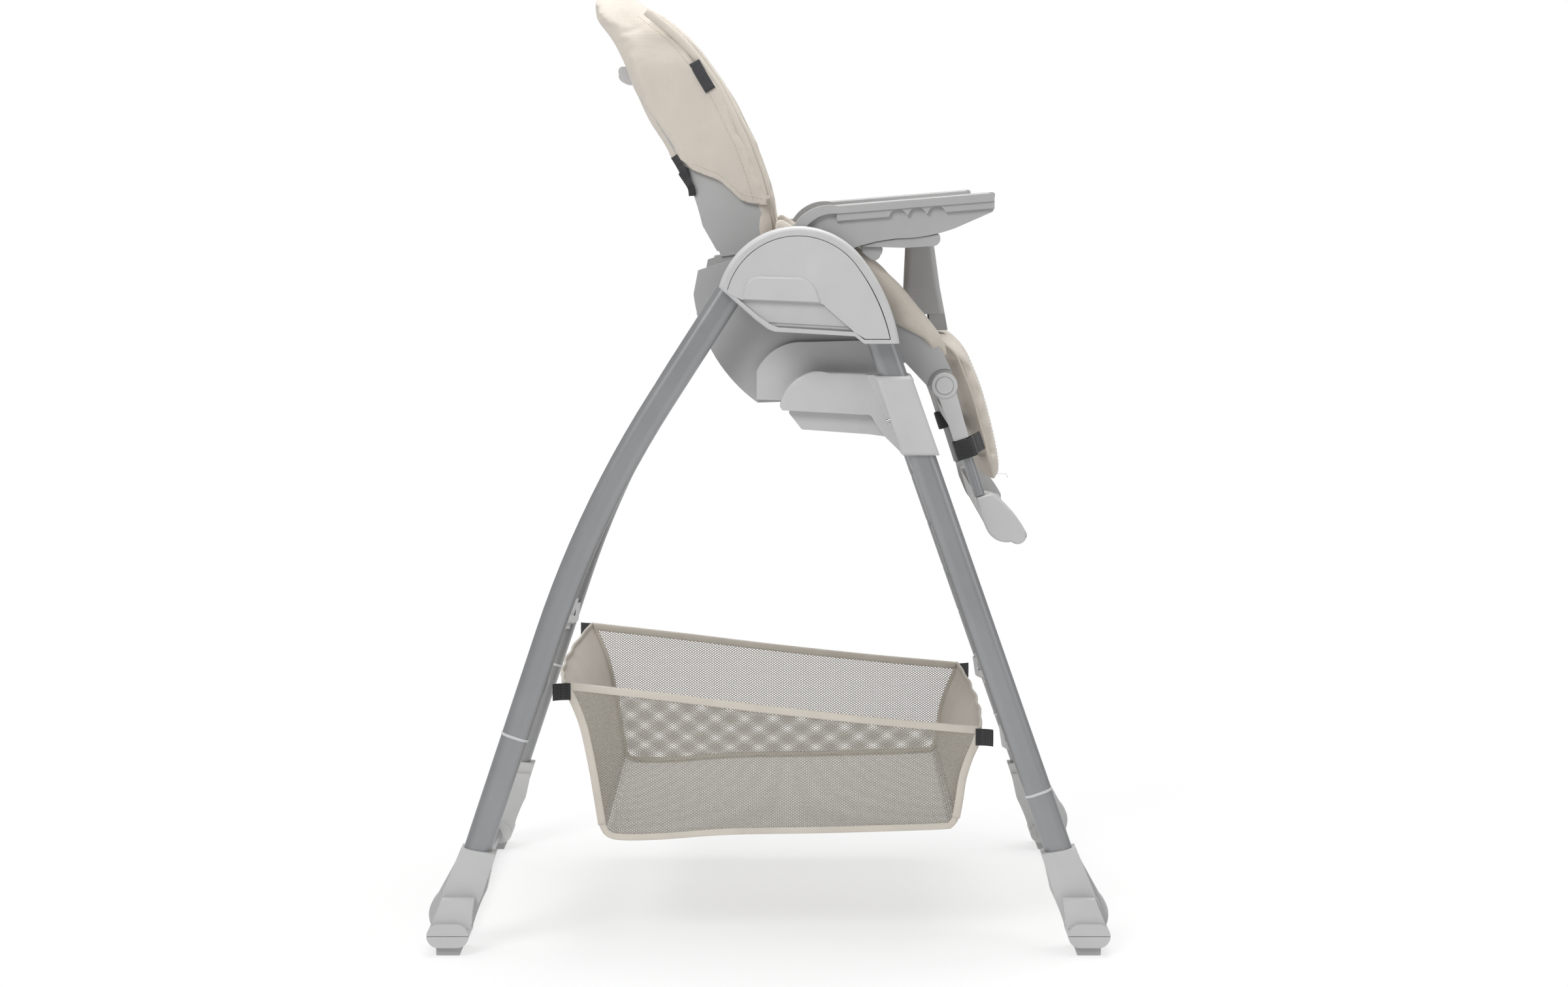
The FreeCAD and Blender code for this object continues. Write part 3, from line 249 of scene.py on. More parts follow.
NODE_FINISH = {
    "tube": ("front_leg_right", "front_leg_left", "rear_leg_right", "rear_leg_left", "front_cross_tube",
             "rear_cross_tube", "footrest_tubes"),
    "ring": ("front_leg_rings", "rear_leg_rings"),
    "plastic": ("front_foot_right", "front_foot_left", "rear_foot_right", "rear_foot_left", "hinge_rim_right",
                "hinge_rim_left", "hinge_cover_right", "hinge_cover_left", "carriage_right", "carriage_left",
                "legrest_sockets", "footplate", "legrest_button_right", "legrest_button_left",
                "basket_hooks_front", "basket_hooks_rear"),
    "lever": ("fold_lever_right", "fold_lever_left", "height_lever_right", "height_lever_left",
              "recline_handle"),
    "arm": ("arm_right", "arm_left"),
    "mid": ("seat_shell", "back_shell", "hinge_plates", "seat_underside", "arm_covers", "cross_bar",
            "crotch_post", "legrest_panel"),
    "steel": ("hinge_pins", "back_pins", "recline_rod", "lock_pin_right", "lock_pin_left", "arm_screws"),
    "rubber": ("front_foot_pads", "rear_foot_pads"),
    "dark": ("strap_sliders",),
}


def dress(thing, key):
    """Gives an object's first material slot a finish and names the record's slot for it."""
    if not thing.material_slots:
        thing.data.materials.append(FINISHES[key])
    for each in thing.material_slots:
        each.material = FINISHES[key]
    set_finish(thing, SLOT[key])
    return thing


for key, names in NODE_FINISH.items():
    for name in names:
        dress(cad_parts[name], key)


# ---------------------------------------------------------------- mesh helpers (millimetres in, metres out)
def build(name, points, faces, key, smooth=True):
    mesh = bpy.data.meshes.new(name)
    mesh.from_pydata([tuple(c * MM for c in p) for p in points], [], faces)
    mesh.validate()
    thing = bpy.data.objects.new(name, mesh)
    bpy.context.scene.collection.objects.link(thing)
    tidy = bmesh.new()
    tidy.from_mesh(mesh)
    bmesh.ops.remove_doubles(tidy, verts=tidy.verts, dist=1e-5)
    bmesh.ops.recalc_face_normals(tidy, faces=tidy.faces)
    tidy.to_mesh(mesh)
    tidy.free()
    mesh.shade_smooth() if smooth else mesh.shade_flat()
    return dress(thing, key)


def curve(points, count):
    """Evenly spaced points on a smooth line through some points of any dimension."""
    p = [np.array(q, float) for q in points]
    p = [2 * p[0] - p[1], *p, 2 * p[-1] - p[-2]]
    fine = []
    for k in range(1, len(p) - 2):
        for t in np.linspace(0, 1, 24, endpoint=False):
            fine.append(0.5 * (2 * p[k] + (p[k + 1] - p[k - 1]) * t
                               + (2 * p[k - 1] - 5 * p[k] + 4 * p[k + 1] - p[k + 2]) * t * t
                               + (3 * p[k] - p[k - 1] - 3 * p[k + 1] + p[k + 2]) * t ** 3))
    fine = np.array([*fine, p[-2]])
    gone = np.concatenate([[0], np.cumsum(np.linalg.norm(np.diff(fine, axis=0), axis=1))])
    wanted = np.linspace(0, gone[-1], count)
    return np.stack([np.interp(wanted, gone, fine[:, k]) for k in range(fine.shape[1])], axis=1)


def loft(name, rings, key, closed=False):
    """Skin over rings of equal size; open lofts get end caps."""
    size, count = len(rings[0]), len(rings)
    faces = []
    for i in range(count if closed else count - 1):
        a, b = i * size, (i + 1) % count * size
        faces += [(a + k, a + (k + 1) % size, b + (k + 1) % size, b + k) for k in range(size)]
    if not closed:
        faces += [tuple(range(size))[::-1], tuple((count - 1) * size + k for k in range(size))]
    return build(name, [p for ring in rings for p in ring], faces, key)


def steps_along(points, closed=False):
    p = np.array(points, float)
    ahead, behind = np.roll(p, -1, axis=0), np.roll(p, 1, axis=0)
    if not closed:
        ahead[-1], behind[0] = p[-1], p[0]
    t = ahead - behind
    return t / np.linalg.norm(t, axis=1)[:, None]


def tube(name, points, radius, key, closed=False, sides=8):
    """Round cord along points."""
    tangents = steps_along(points, closed)
    side = np.cross(tangents[0], (0.31, 0.22, 0.93))
    rings = []
    for p, t in zip(np.array(points, float), tangents):
        side = side - t * (side @ t)
        side /= np.linalg.norm(side)
        up = np.cross(t, side)
        rings.append([p + radius * (math.cos(a) * side + math.sin(a) * up)
                      for a in np.linspace(0, 2 * math.pi, sides, endpoint=False)])
    return loft(name, rings, key, closed)


def ribbon(name, points, normals, width, thick, key, closed=False):
    """Flat strap along points, facing the normals, with rounded edges."""
    tangents = steps_along(points, closed)
    normals = np.broadcast_to(np.array(normals, float), (len(points), 3))
    w, t = width / 2, thick / 2
    shape = [(w, 0), (w - 0.3 * t, t * 0.7), (w - t, t), (0, t * 1.12), (t - w, t), (0.3 * t - w, t * 0.7),
             (-w, 0), (0.3 * t - w, -t * 0.7), (t - w, -t), (0, -t * 1.12), (w - t, -t),
             (w - 0.3 * t, -t * 0.7)]
    rings = []
    for p, along, n in zip(np.array(points, float), tangents, normals):
        n = n - along * (n @ along)
        n = n / np.linalg.norm(n)
        across = np.cross(along, n)
        rings.append([p + across * a + n * b for a, b in shape])
    return loft(name, rings, key, closed)


def joined(name, things):
    """One piece out of several meshes of the same finish."""
    merged = bmesh.new()
    for thing in things:
        merged.from_mesh(thing.data)
    mesh = bpy.data.meshes.new(name)
    merged.to_mesh(mesh)
    merged.free()
    mesh.materials.append(things[0].data.materials[0])
    whole = bpy.data.objects.new(name, mesh)
    bpy.context.scene.collection.objects.link(whole)
    slot_name = things[0]["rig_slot"]
    for thing in things:
        bpy.data.objects.remove(thing)
    mesh.shade_smooth()
    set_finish(whole, slot_name)
    return whole


def applied(thing):
    """Replaces the mesh by its evaluated one and drops the modifiers."""
    evaluated = thing.evaluated_get(bpy.context.evaluated_depsgraph_get())
    mesh = bpy.data.meshes.new_from_object(evaluated)
    thing.modifiers.clear()
    thing.data = mesh
    return thing


def coordinates(thing):
    co = np.zeros(len(thing.data.vertices) * 3)
    thing.data.vertices.foreach_get("co", co)
    return co.reshape(-1, 3)


def place(thing, co):
    thing.data.vertices.foreach_set("co", np.asarray(co, float).ravel())
    thing.data.update()


def remeshed(thing, voxel):
    change = thing.modifiers.new("voxels", "REMESH")
    change.mode, change.voxel_size = "VOXEL", voxel * MM
    return applied(thing)


def smoothed(thing, rounds, factor=0.5):
    change = thing.modifiers.new("smooth", "SMOOTH")
    change.iterations, change.factor = rounds, factor
    return applied(thing)


def subdivided(thing, levels=1):
    change = thing.modifiers.new("subdivide", "SUBSURF")
    change.levels = change.render_levels = levels
    applied(thing)
    thing.data.shade_smooth()
    return thing


def inflate(thing, pressure, cap, hold=None, limits=None, spare=0.03, frames=20):
    """Swells a closed mesh as cloth. No point moves further than the cap; hold is a share to pin per point."""
    start = coordinates(thing)
    cloth_change = thing.modifiers.new("cloth", "CLOTH")
    settings = cloth_change.settings
    settings.quality = 6
    settings.mass = 0.25
    settings.use_pressure = True
    settings.uniform_pressure_force = pressure
    settings.shrink_min = -spare
    settings.bending_stiffness = 0.6
    settings.effector_weights.gravity = 0.0
    if hold is not None:
        group = thing.vertex_groups.new(name="hold")
        for k, share in enumerate(hold):
            if share > 0:
                group.add([k], float(share), "REPLACE")
        settings.vertex_group_mass = "hold"
    for step in range(1, frames + 1):
        bpy.context.scene.frame_set(step)
    applied(thing)
    bpy.context.scene.frame_set(1)
    now = coordinates(thing)
    move = now - start
    length = np.linalg.norm(move, axis=1)[:, None]
    now = start + move * np.minimum(1.0, cap * MM / np.maximum(length, 1e-9))
    if limits is not None:
        now = limits(now / MM) * MM
    place(thing, now)
    thing.vertex_groups.clear()
    return thing


def clipped(half):
    """Limits for inflate: no point lies beyond a half width."""
    def limits(p):
        p[:, 1] = np.clip(p[:, 1], -half, half)
        return p
    return limits


def surface_of(thing):
    mesh = thing.data
    return BVHTree.FromPolygons([v.co for v in mesh.vertices], [tuple(p.vertices) for p in mesh.polygons])


def hug(tree, points, direction, lift, reach=60.0):
    """Drops points onto a surface along a direction and lifts them off it again. Millimetres."""
    way = Vector(direction).normalized()
    found = []
    for p in points:
        origin = Vector(p) * MM - way * (reach * MM)
        hit = tree.ray_cast(origin, way)[0]
        found.append(np.array(p, float) if hit is None else np.array(hit) / MM - np.array(way) * lift)
    return np.array(found)


def eased(points, rounds=2):
    """Evens out a row of points, ends kept."""
    p = np.array(points, float)
    for _ in range(rounds):
        p[1:-1] = 0.25 * p[:-2] + 0.5 * p[1:-1] + 0.25 * p[2:]
    return p


def stitches(name, points, up, pitch=4.2, length=2.7, radius=0.27):
    """Sewing thread: short raised stitches along a line of points."""
    p = np.array(points, float)
    gone = np.concatenate([[0], np.cumsum(np.linalg.norm(np.diff(p, axis=0), axis=1))])
    up = np.array(up, float) / np.linalg.norm(up)
    made = []
    for start in np.arange(pitch / 2, gone[-1] - length, pitch):
        ends = [np.array([np.interp(s, gone, p[:, k]) for k in range(3)])
                for s in np.linspace(start, start + length, 4)]
        for k, rise in enumerate((-0.25, 0.2, 0.2, -0.25)):
            ends[k] = ends[k] + up * rise
        made.append(tube(f"{name}_{len(made)}", ends, radius, "thread", sides=5))
    return joined(name, made)


def pad(name, spine, front, rear, half, corner, nu, nv, power, dip=0.0):
    """Closed pillow along a line in the XZ plane: both faces bulge off it and meet in an edge all round.

    The front face sinks by dip between its two side bolsters."""
    line = curve(spine, nu + 1)
    tangents = steps_along(line)
    normals = np.stack([-tangents[:, 1], tangents[:, 0]], axis=1)
    if normals[nu // 2][0] < 0:
        normals = -normals
    total = np.linalg.norm(np.diff(line, axis=0), axis=1).sum()
    points = []
    for side, depth in ((1, front), (-1, rear)):
        for i in range(nu + 1):
            s = min(i, nu - i) / nu * total
            width = half
            if s < corner:
                width = half - corner + math.sqrt(max(0.0, corner ** 2 - (corner - s) ** 2))
            lengthwise = (1 - abs(2 * i / nu - 1) ** power) ** (1 / power)
            for j in range(nv + 1):
                v = math.sin(math.pi / 2 * (2 * j / nv - 1))
                crown = (1 - abs(v) ** power) ** (1 / power) * lengthwise
                rise = depth * crown
                if side > 0 and dip:
                    share = min(1.0, max(0.0, (BOLSTER[1] - abs(v * width)) / (BOLSTER[1] - BOLSTER[0])))
                    rise -= dip * share * share * (3 - 2 * share) * lengthwise
                off = line[i] + normals[i] * side * rise
                points.append((off[0], v * width, off[1]))
    faces = []
    for layer in (0, 1):
        base = layer * (nu + 1) * (nv + 1)
        for i in range(nu):
            for j in range(nv):
                a = base + i * (nv + 1) + j
                quad = (a, a + 1, a + nv + 2, a + nv + 1)
                faces.append(quad if layer else quad[::-1])
    return build(name, points, faces, "fabric")


def prism(name, profile, low, high):
    """Solid of a side profile between two Y limits."""
    n = len(profile)
    points = [(x, low, z) for x, z in profile] + [(x, high, z) for x, z in profile]
    faces = [tuple(range(n))[::-1], tuple(range(n, 2 * n))]
    faces += [(k, (k + 1) % n, n + (k + 1) % n, n + k) for k in range(n)]
    return build(name, points, faces, "fabric", smooth=False)


def slab(name, half, low, high, corner, x):
    """Slab across X whose upper corners are rounded, seen from the front."""
    outline = [(-half, low), (half, low)]
    for sign in (1, -1):
        angles = np.linspace(0, math.pi / 2, 13)
        arc = [(sign * (half - corner + corner * math.cos(a)), high - corner + corner * math.sin(a))
               for a in angles]
        outline += arc if sign > 0 else arc[::-1]
    n = len(outline)
    points = [(x[0], y, z) for y, z in outline] + [(x[1], y, z) for y, z in outline]
    faces = [tuple(range(n)), tuple(range(n, 2 * n))[::-1]]
    faces += [(k, n + k, n + (k + 1) % n, (k + 1) % n) for k in range(n)]
    return build(name, points, faces, "fabric", smooth=False)


def carve(thing, tool, operation="DIFFERENCE"):
    change = thing.modifiers.new("carve", "BOOLEAN")
    change.operation, change.object, change.solver = operation, tool, "EXACT"
    applied(thing)
    bpy.data.objects.remove(tool)
    return thing


# ---------------------------------------------------------------- backrest
BOLSTER = (88.0, 118.0)  # |Y| over which a dipped front rises to its side bolsters
PANEL_SEAM = 108.0
COVER_HALF, COVER_TOP = 173.0, 1049.5
SEAM = [(-158, 1046), (-134, 1029), (-106, 1007), (-86, 987), (-69, 965), (-55, 945), (-43, 922), (-35, 905),
        (-26, 887), (-18, 866), (-10, 843), (-4, 820), (-1, 800), (2, 775), (3, 740)]
REAR = [(-58, 770), (-72, 793), (-80, 814), (-88, 834), (-96, 852), (-101, 868), (-105, 880), (-114, 895),
        (-124, 909), (-132, 924), (-138, 939), (-146, 955), (-150, 969), (-157, 984), (-165, 999), (-176, 1013),
        (-189, 1027), (-194, 1039)]
HEM = [(-110, 868), (-95, 866), (-85, 857), (-71, 851), (-54, 844), (-40, 832), (-28, 822), (-7, 818), (6, 817)]


def back_pieces():
    # padded front
    cushion = pad("soft_back_cushion", SEAM[::-1], front=6.5, rear=8.0, half=169.0, corner=92.0,
                  nu=70, nv=80, power=5.0, dip=8.0)
    co = coordinates(cushion) / MM
    from_seam = np.abs(np.abs(co[:, 1]) - PANEL_SEAM)
    sewn = (from_seam < 3.2) & (co[:, 2] > 770) & (co[:, 2] < 985)
    inflate(cushion, pressure=4.0, cap=5.0, hold=np.where(sewn, 1.0, 0.0), limits=clipped(172.5))
    subdivided(cushion)
    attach(cushion, "back")
    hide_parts("back_cushion")

    # sleeve over the moulded back
    outline = [(x - 2.6, z - 1.3) for x, z in curve(REAR[2:], 40)]
    outline += [(-193.0, 1045.0), (-184, 1048.5), (-174, 1049.5), (-164, 1049)]
    outline += [tuple(p) for p in curve([(x + 1.5, z) for x, z in SEAM[:-2]], 40)]
    sleeve = prism("soft_back_cover", outline, -COVER_HALF, COVER_HALF)
    carve(sleeve, slab("mask", COVER_HALF, 700, COVER_TOP, 95, (-260, 60)), "INTERSECT")
    remeshed(sleeve, 5.0)
    smoothed(sleeve, 6)

    def within(p):
        p[:, 1] = np.clip(p[:, 1], -175.5, 175.5)
        p[:, 2] = np.minimum(p[:, 2], 1052.0)
        return p
    inflate(sleeve, pressure=2.6, cap=4.5, limits=within, spare=0.05)
    smoothed(sleeve, 2)
    subdivided(sleeve)
    for back_off, half in ((1.0, 158.0), (13.0, 167.6)):
        core = [(-50, 750)] + [(x + back_off, z + back_off / 2) for x, z in curve(REAR[:-1], 40)]
        core += [(-174, 1032)]
        core += [(x - 6.0, z - 3.5) for x, z in curve(SEAM[1:-1], 40)] + [(-4, 750)]
        inner = prism("core", core, -half, half)
        carve(inner, slab("mask", half, 700, 1036, 92, (-260, 60)), "INTERSECT")
        carve(sleeve, inner)
    below = [tuple(p) for p in curve(HEM, 60)] + [(60, 700), (-160, 700), (-160, 868)]
    carve(sleeve, prism("below", below, -200, 200))
    carve(sleeve, prism("slit", [(-205, 950), (-120, 950), (-120, 989), (-205, 989)], -39, 39))
    sleeve.data.shade_smooth()
    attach(dress(sleeve, "fabric"), "back")
    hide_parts("back_cover")

    # seams, hem and label on the sleeve
    tree = surface_of(sleeve)
    for side, sign in SIDES:
        seam = curve([p for p in SEAM if 815 < p[1] < 1030], 60)
        path = [(x, sign * 167.8, z) for x, z in seam]
        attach(tube(f"back_seam_{side}", path, 4.8, "fabric", sides=18), "back")
        tuck = curve([(-6, 828), (-7.5, 812), (-5.5, 795), (-5, 778), (0, 752)], 30)
        path = [(x, sign * (161.8 + 0.7 * math.sin(z * 0.2)), z) for x, z in tuck]
        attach(tube(f"back_tuck_{side}", path, 9.0, "fabric", sides=20), "back")
        row = hug(tree, [(x - 11.5, sign * 172, z - 3.2) for x, z in seam], (0, -sign, 0), 0.15)
        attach(stitches(f"back_stitches_{side}", row, (0, sign, 0)), "back")
        hem = [(x, sign * 172, z + 7.0) for x, z in curve(HEM[2:8], 50)]
        row = hug(tree, hem, (0, -sign, 0), 0.15)
        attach(stitches(f"hem_stitches_{side}", row, (0, sign, 0)), "back")
    tag = [(-81.5, -172, 974), (-76, -172, 964), (-69.5, -172, 953), (-63.5, -172, 943)]
    middle = eased(hug(tree, curve(tag, 12), (0, 1, 0), 1.2))
    middle[:, 1] = np.minimum(middle[:, 1], -174.6)
    label = ribbon("side_label", middle, (0, -1, 0), 12.5, 1.2, "label")
    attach(label, "back")

    # straps from the hem to their sliders
    for side, sign in SIDES:
        path = [(-104, sign * 171.5, 871), (-99.5, sign * 175.0, 864), (-95, sign * 176.6, 856),
                (-90, sign * 176.6, 846), (-85, sign * 175.4, 836), (-84, sign * 171.5, 828)]
        strap = ribbon(f"cover_strap_{side}", curve(path, 24), (0, sign, 0), 8.0, 1.4, "webbing")
        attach(strap, "back")
    return cushion


# ---------------------------------------------------------------- seat
def seat_pieces():
    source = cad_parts["seat_cushion"]
    cushion = bpy.data.objects.new("soft_seat_cushion", source.data.copy())
    bpy.context.scene.collection.objects.link(cushion)
    remeshed(cushion, 5.0)
    smoothed(cushion, 5)

    def within(p):
        p[:, 1] = np.clip(p[:, 1], -183.0, 183.0)
        p[:, 2] = np.clip(p[:, 2], 688.8, 724.0)
        return p
    inflate(cushion, pressure=4.0, cap=7.0, limits=within)
    smoothed(cushion, 1)
    subdivided(cushion)
    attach(dress(cushion, "fabric"), "seat")
    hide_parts("seat_cushion")
    tree = surface_of(cushion)
    row = []
    for y in (-62.0, 62.0):
        line = hug(tree, [(x, y, 720) for x in np.linspace(30, 178, 60)], (0, 0, -1), 0.1)
        row.append(stitches(f"seat_stitches_{'a' if y < 0 else 'b'}", line, (0, 0, 1)))
    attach(joined("seat_stitches", row), "seat")

    for side, sign in SIDES:
        wing = side_wing(side, sign)
        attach(wing, "seat")
        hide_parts(f"side_pad_{side}")
        inner = [(9, 694), (9, 700), (6, 760), (6, 799), (14, 801), (42, 788), (86, 760), (96, 752), (128, 722),
                 (150, 702), (150, 694)]
        lining = prism(f"inner_pad_{side}", inner, *sorted((sign * 187.5, sign * 194.5)))
        remeshed(lining, 4.0)
        smoothed(lining, 4)

        def inside(p, sign=sign):
            p[:, 1] = sign * np.clip(sign * p[:, 1], 183.5, 197.2)
            p[:, 2] = np.maximum(p[:, 2], 689.5)
            return p
        inflate(lining, pressure=3.0, cap=5.0, limits=inside)
        subdivided(lining)
        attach(dress(lining, "fabric"), "seat")
    return cushion


def side_wing(side, sign):
    """Fabric that wraps the front edge of a side panel: outer flap, rolled edge and inner face."""
    edge = curve([(86, 766), (94, 762), (108, 748), (122, 734), (136, 720), (150, 705), (164, 691), (178, 677),
                  (187, 664), (193, 652)], 64)
    tangents = steps_along(edge)
    normals = np.stack([-tangents[:, 1], tangents[:, 0]], axis=1)
    normals *= np.sign(normals[30][0])
    rings = []
    for k, (p, n) in enumerate(zip(edge, normals)):
        t = k / (len(edge) - 1)
        outer = 50.0 - 36.0 * min(1.0, t / 0.8) ** 0.9 - 6.0 * t
        inner = 46.0 - 36.0 * min(1.0, t / 0.9)
        tuck = max(0.0, (t - 0.8) / 0.2) ** 2
        puff = 9.0 - 3.5 * t + 4.5 * math.sin(math.pi * min(1.0, t * 1.15)) - 3.0 * tuck
        fold = (3.4 * math.sin(9.0 * t + 1.3) + 2.2 * math.sin(23.0 * t)) * (1 - tuck)
        shape = [(-outer, 209.0), (-outer, 211.2), (-outer * 0.66, 212.4 + 0.8 * fold),
                 (-outer * 0.33, 212.6 + 0.5 * fold), (0.0, 213.6), (0.55 * puff, 212.6), (puff, 208.6),
                 (puff + 1.4, 203.5), (puff + 1.2, 198.0), (puff - 0.6, 192.0), (0.3 * puff, 187.4),
                 (-inner * 0.4, 185.6), (-inner * 0.8, 186.2), (-inner, 188.0), (-inner, 198.6),
                 (-inner * 0.4, 199.2), (0.4, 199.4), (0.9, 204.0), (0.4, 208.6), (-outer * 0.5, 208.9)]
        ring = []
        for off, y in shape:
            at = p + n * off
            y -= max(0.0, y - 190.0) * 0.75 * tuck
            wobble = noise.noise(Vector((at[0] * 0.045, y * 0.05, at[1] * 0.02 + 7.0 * sign))) * 2.2
            lift = wobble if y > 209.5 or off > 2 else 0.0
            ring.append((at[0] + n[0] * lift * 0.5, sign * (y + (0.55 * abs(lift) if y > 209.5 else 0.0)),
                         at[1] + n[1] * lift * 0.5))
        rings.append(ring)
    wing = loft(f"side_wing_{side}", rings, "fabric")
    return subdivided(wing)


# ---------------------------------------------------------------- harness
def harness(back, seat):
    """Five-point harness laid over both cushions: shoulder straps and pads, lap straps and buckle."""
    back_tree, seat_tree = surface_of(back), surface_of(seat)
    straps, pads = [], []
    for side, sign in SIDES:
        line = curve([(-22, 900), (-14, 886), (-5, 862), (2, 838), (8, 812), (12, 785), (13, 755),
                      (13, 742)], 60)
        path = [(x, sign * y, z) for (x, z), y in zip(line, np.linspace(44, 56, 60))]
        path = eased(hug(back_tree, path, (-1, 0, 0), 1.4, reach=90), 4)
        path[0] -= (6.0, 0, -1.0)
        straps.append(ribbon(f"shoulder_{side}", path, (1, 0, 0.3), 25.0, 1.6, "webbing"))
        soft = path[8:46]
        pads.append(ribbon(f"shoulder_pad_{side}", soft + np.array((2.2, 0, 0.8)), (1, 0, 0.3), 46.0, 4.5,
                           "fabric"))
    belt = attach(joined("shoulder_straps", straps), "back")
    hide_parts("shoulder_harness")
    cover = joined("shoulder_pads", pads)
    subdivided(cover)
    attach(cover, "back")

    waist = []
    for side, sign in SIDES:
        path = [(24, sign * 182.0, 716), (27, sign * 160.0, 716), (34, sign * 110.0, 716),
                (42, sign * 60.0, 716), (46, sign * 30.0, 716)]
        path = eased(hug(seat_tree, curve(path, 50), (0, 0, -1), 1.3), 4)
        waist.append(ribbon(f"waist_{side}", path, (0, 0, 1), 25.0, 1.6, "webbing"))
    path = curve([(146, 0, 716), (110, 0, 716), (72, 0, 716)], 40)
    path = eased(hug(seat_tree, path, (0, 0, -1), 1.3), 4)
    waist.append(ribbon("crotch", path, (0, 0, 1), 24.0, 1.6, "webbing"))
    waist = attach(joined("waist_straps", waist), "seat")
    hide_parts("lap_harness")
    top = hug(seat_tree, [(50, 0, 716)], (0, 0, -1), 0.0)[0][2]
    rings = [[(50 + (22 + grow) * c, (32 + grow) * s, top + level) for c, s in superellipse(40, 3.2)]
             for level, grow in ((0.6, -1.5), (1.6, 0.0), (7.0, 0.0), (9.5, -1.6), (10.6, -5.0))]
    buckle = loft("harness_buckle", rings, "dark")
    rings = [[(50 + (8 + grow) * c, (8 + grow) * s, top + level) for c, s in superellipse(28, 2.0)]
             for level, grow in ((10.0, 0.0), (11.6, 0.0), (12.2, -1.2))]
    button = loft("buckle_button", rings, "mid")
    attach(buckle, "seat")
    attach(button, "seat")


def superellipse(count, power):
    made = []
    for a in np.linspace(0, 2 * math.pi, count, endpoint=False):
        c, s = math.cos(a), math.sin(a)
        made.append((math.copysign(abs(c) ** (2 / power), c), math.copysign(abs(s) ** (2 / power), s)))
    return made


# ---------------------------------------------------------------- leg rest
CALF_LINE = [(184, 668), (193, 664.5), (202, 658.5), (209, 649.5), (215.5, 634), (226, 606), (236.5, 569),
             (246, 532), (252, 507)]
LEG_REST_LEAN = math.radians(18.0)
LEG_REST_PIVOT = np.array((193.0, 0, 621.0))


def leg_rest_pieces():
    cushion = pad("soft_calf_cushion", CALF_LINE, front=11.0, rear=12.0, half=171.0, corner=30.0,
                  nu=64, nv=72, power=2.6)
    inflate(cushion, pressure=4.0, cap=5.0, limits=clipped(177.5))
    subdivided(cushion)
    tree = surface_of(cushion)
    seams = []
    for y in (-118.0, 118.0):
        line = [(x + 18, y, z + 2) for x, z in curve(CALF_LINE[2:], 60)]
        row = hug(tree, line, (-1, 0, -0.15), 0.1)
        seams.append(stitches(f"calf_stitches_{'a' if y < 0 else 'b'}", row, (1, 0, 0)))
    seams = joined("calf_stitches", seams)
    rim = curve(CALF_LINE[1:-1], 60)
    rolls = [tube(f"calf_piping_{side}", [(x, sign * 174.5, z) for x, z in rim], 1.3, "fabric")
             for side, sign in SIDES]
    piping = joined("calf_edge", rolls)
    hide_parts("legrest_cushion")
    for piece in (cushion, seams, piping):
        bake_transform(piece)

    along = np.array((math.sin(LEG_REST_LEAN), 0, -math.cos(LEG_REST_LEAN)))
    out = np.array((math.cos(LEG_REST_LEAN), 0, math.sin(LEG_REST_LEAN)))
    loops = []
    for side, sign in SIDES:
        centre = LEG_REST_PIVOT + along * 73.5 + np.array((0, sign * 203.0, 0))
        ring, facing = [], []
        for c, s in superellipse(44, 4.2):
            ring.append(centre + out * (0.8 + 11.4 * c) + np.array((0, 10.3 * s, 0)))
            facing.append(out * c + np.array((0, s, 0)))
        loops.append(ribbon(f"loop_{side}", ring, facing, 21.0, 1.7, "webbing", closed=True))
        tail = [centre + out * off + np.array((0, -sign * inward, 0))
                for off, inward in ((9, 9), (15, 16), (22, 30))]
        loops.append(ribbon(f"tail_{side}", curve(tail, 12), (0, sign, 0.0) + out * 0.2, 21.0, 1.6, "webbing"))
    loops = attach(joined("calf_straps", loops), "leg_rest")
    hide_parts("legrest_straps")


# ---------------------------------------------------------------- basket
SIDE_REAR = [(-185, 133), (-190, 165), (-195, 196), (-204, 240), (-213, 266), (-224, 289)]
SIDE_FRONT = [(208, 141), (211, 158), (215, 185), (222, 208), (229, 224), (234, 239)]
SIDE_BASE = [(-185, 133), (-180, 123), (-166, 118), (-122, 118.5), (-43, 124), (66, 126), (190, 130),
             (203, 133), (208, 141)]
SIDE_TOP = [(-224, 289), (-110, 276), (0, 262.5), (120, 249.5), (234, 239)]
BASKET_HALF = 219.0


def coons(bottom, top, left, right, nu, nv):
    """Surface grid between four edge lines."""
    b, t = curve(bottom, nu + 1), curve(top, nu + 1)
    le, ri = curve(left, nv + 1), curve(right, nv + 1)
    grid = np.zeros((nv + 1, nu + 1, len(bottom[0])))
    for j in range(nv + 1):
        v = j / nv
        for i in range(nu + 1):
            u = i / nu
            corners = (1 - u) * (1 - v) * b[0] + u * (1 - v) * b[-1] + (1 - u) * v * t[0] + u * v * t[-1]
            grid[j, i] = (1 - v) * b[i] + v * t[i] + (1 - u) * le[j] + u * ri[j] - corners
    return grid


def cloth_panel(name, grid, key, thick):
    """Thin closed sheet from a grid of points."""
    rows, columns = grid.shape[:2]
    faces = [(j * columns + i, j * columns + i + 1, (j + 1) * columns + i + 1, (j + 1) * columns + i)
             for j in range(rows - 1) for i in range(columns - 1)]
    panel = build(name, grid.reshape(-1, 3), faces, key)
    skin = panel.modifiers.new("thickness", "SOLIDIFY")
    skin.thickness, skin.offset = thick * MM, 0.0
    return dress(applied(panel), key)


def declared(grid):
    """Works out the cut size of a stretched cloth panel along its grid; the result is not used."""
    def length(rows):
        return max(np.linalg.norm(np.diff(r, axis=0), axis=1).sum() for r in rows) * MM
    width, height = length(grid), length(grid.transpose(1, 0, 2))


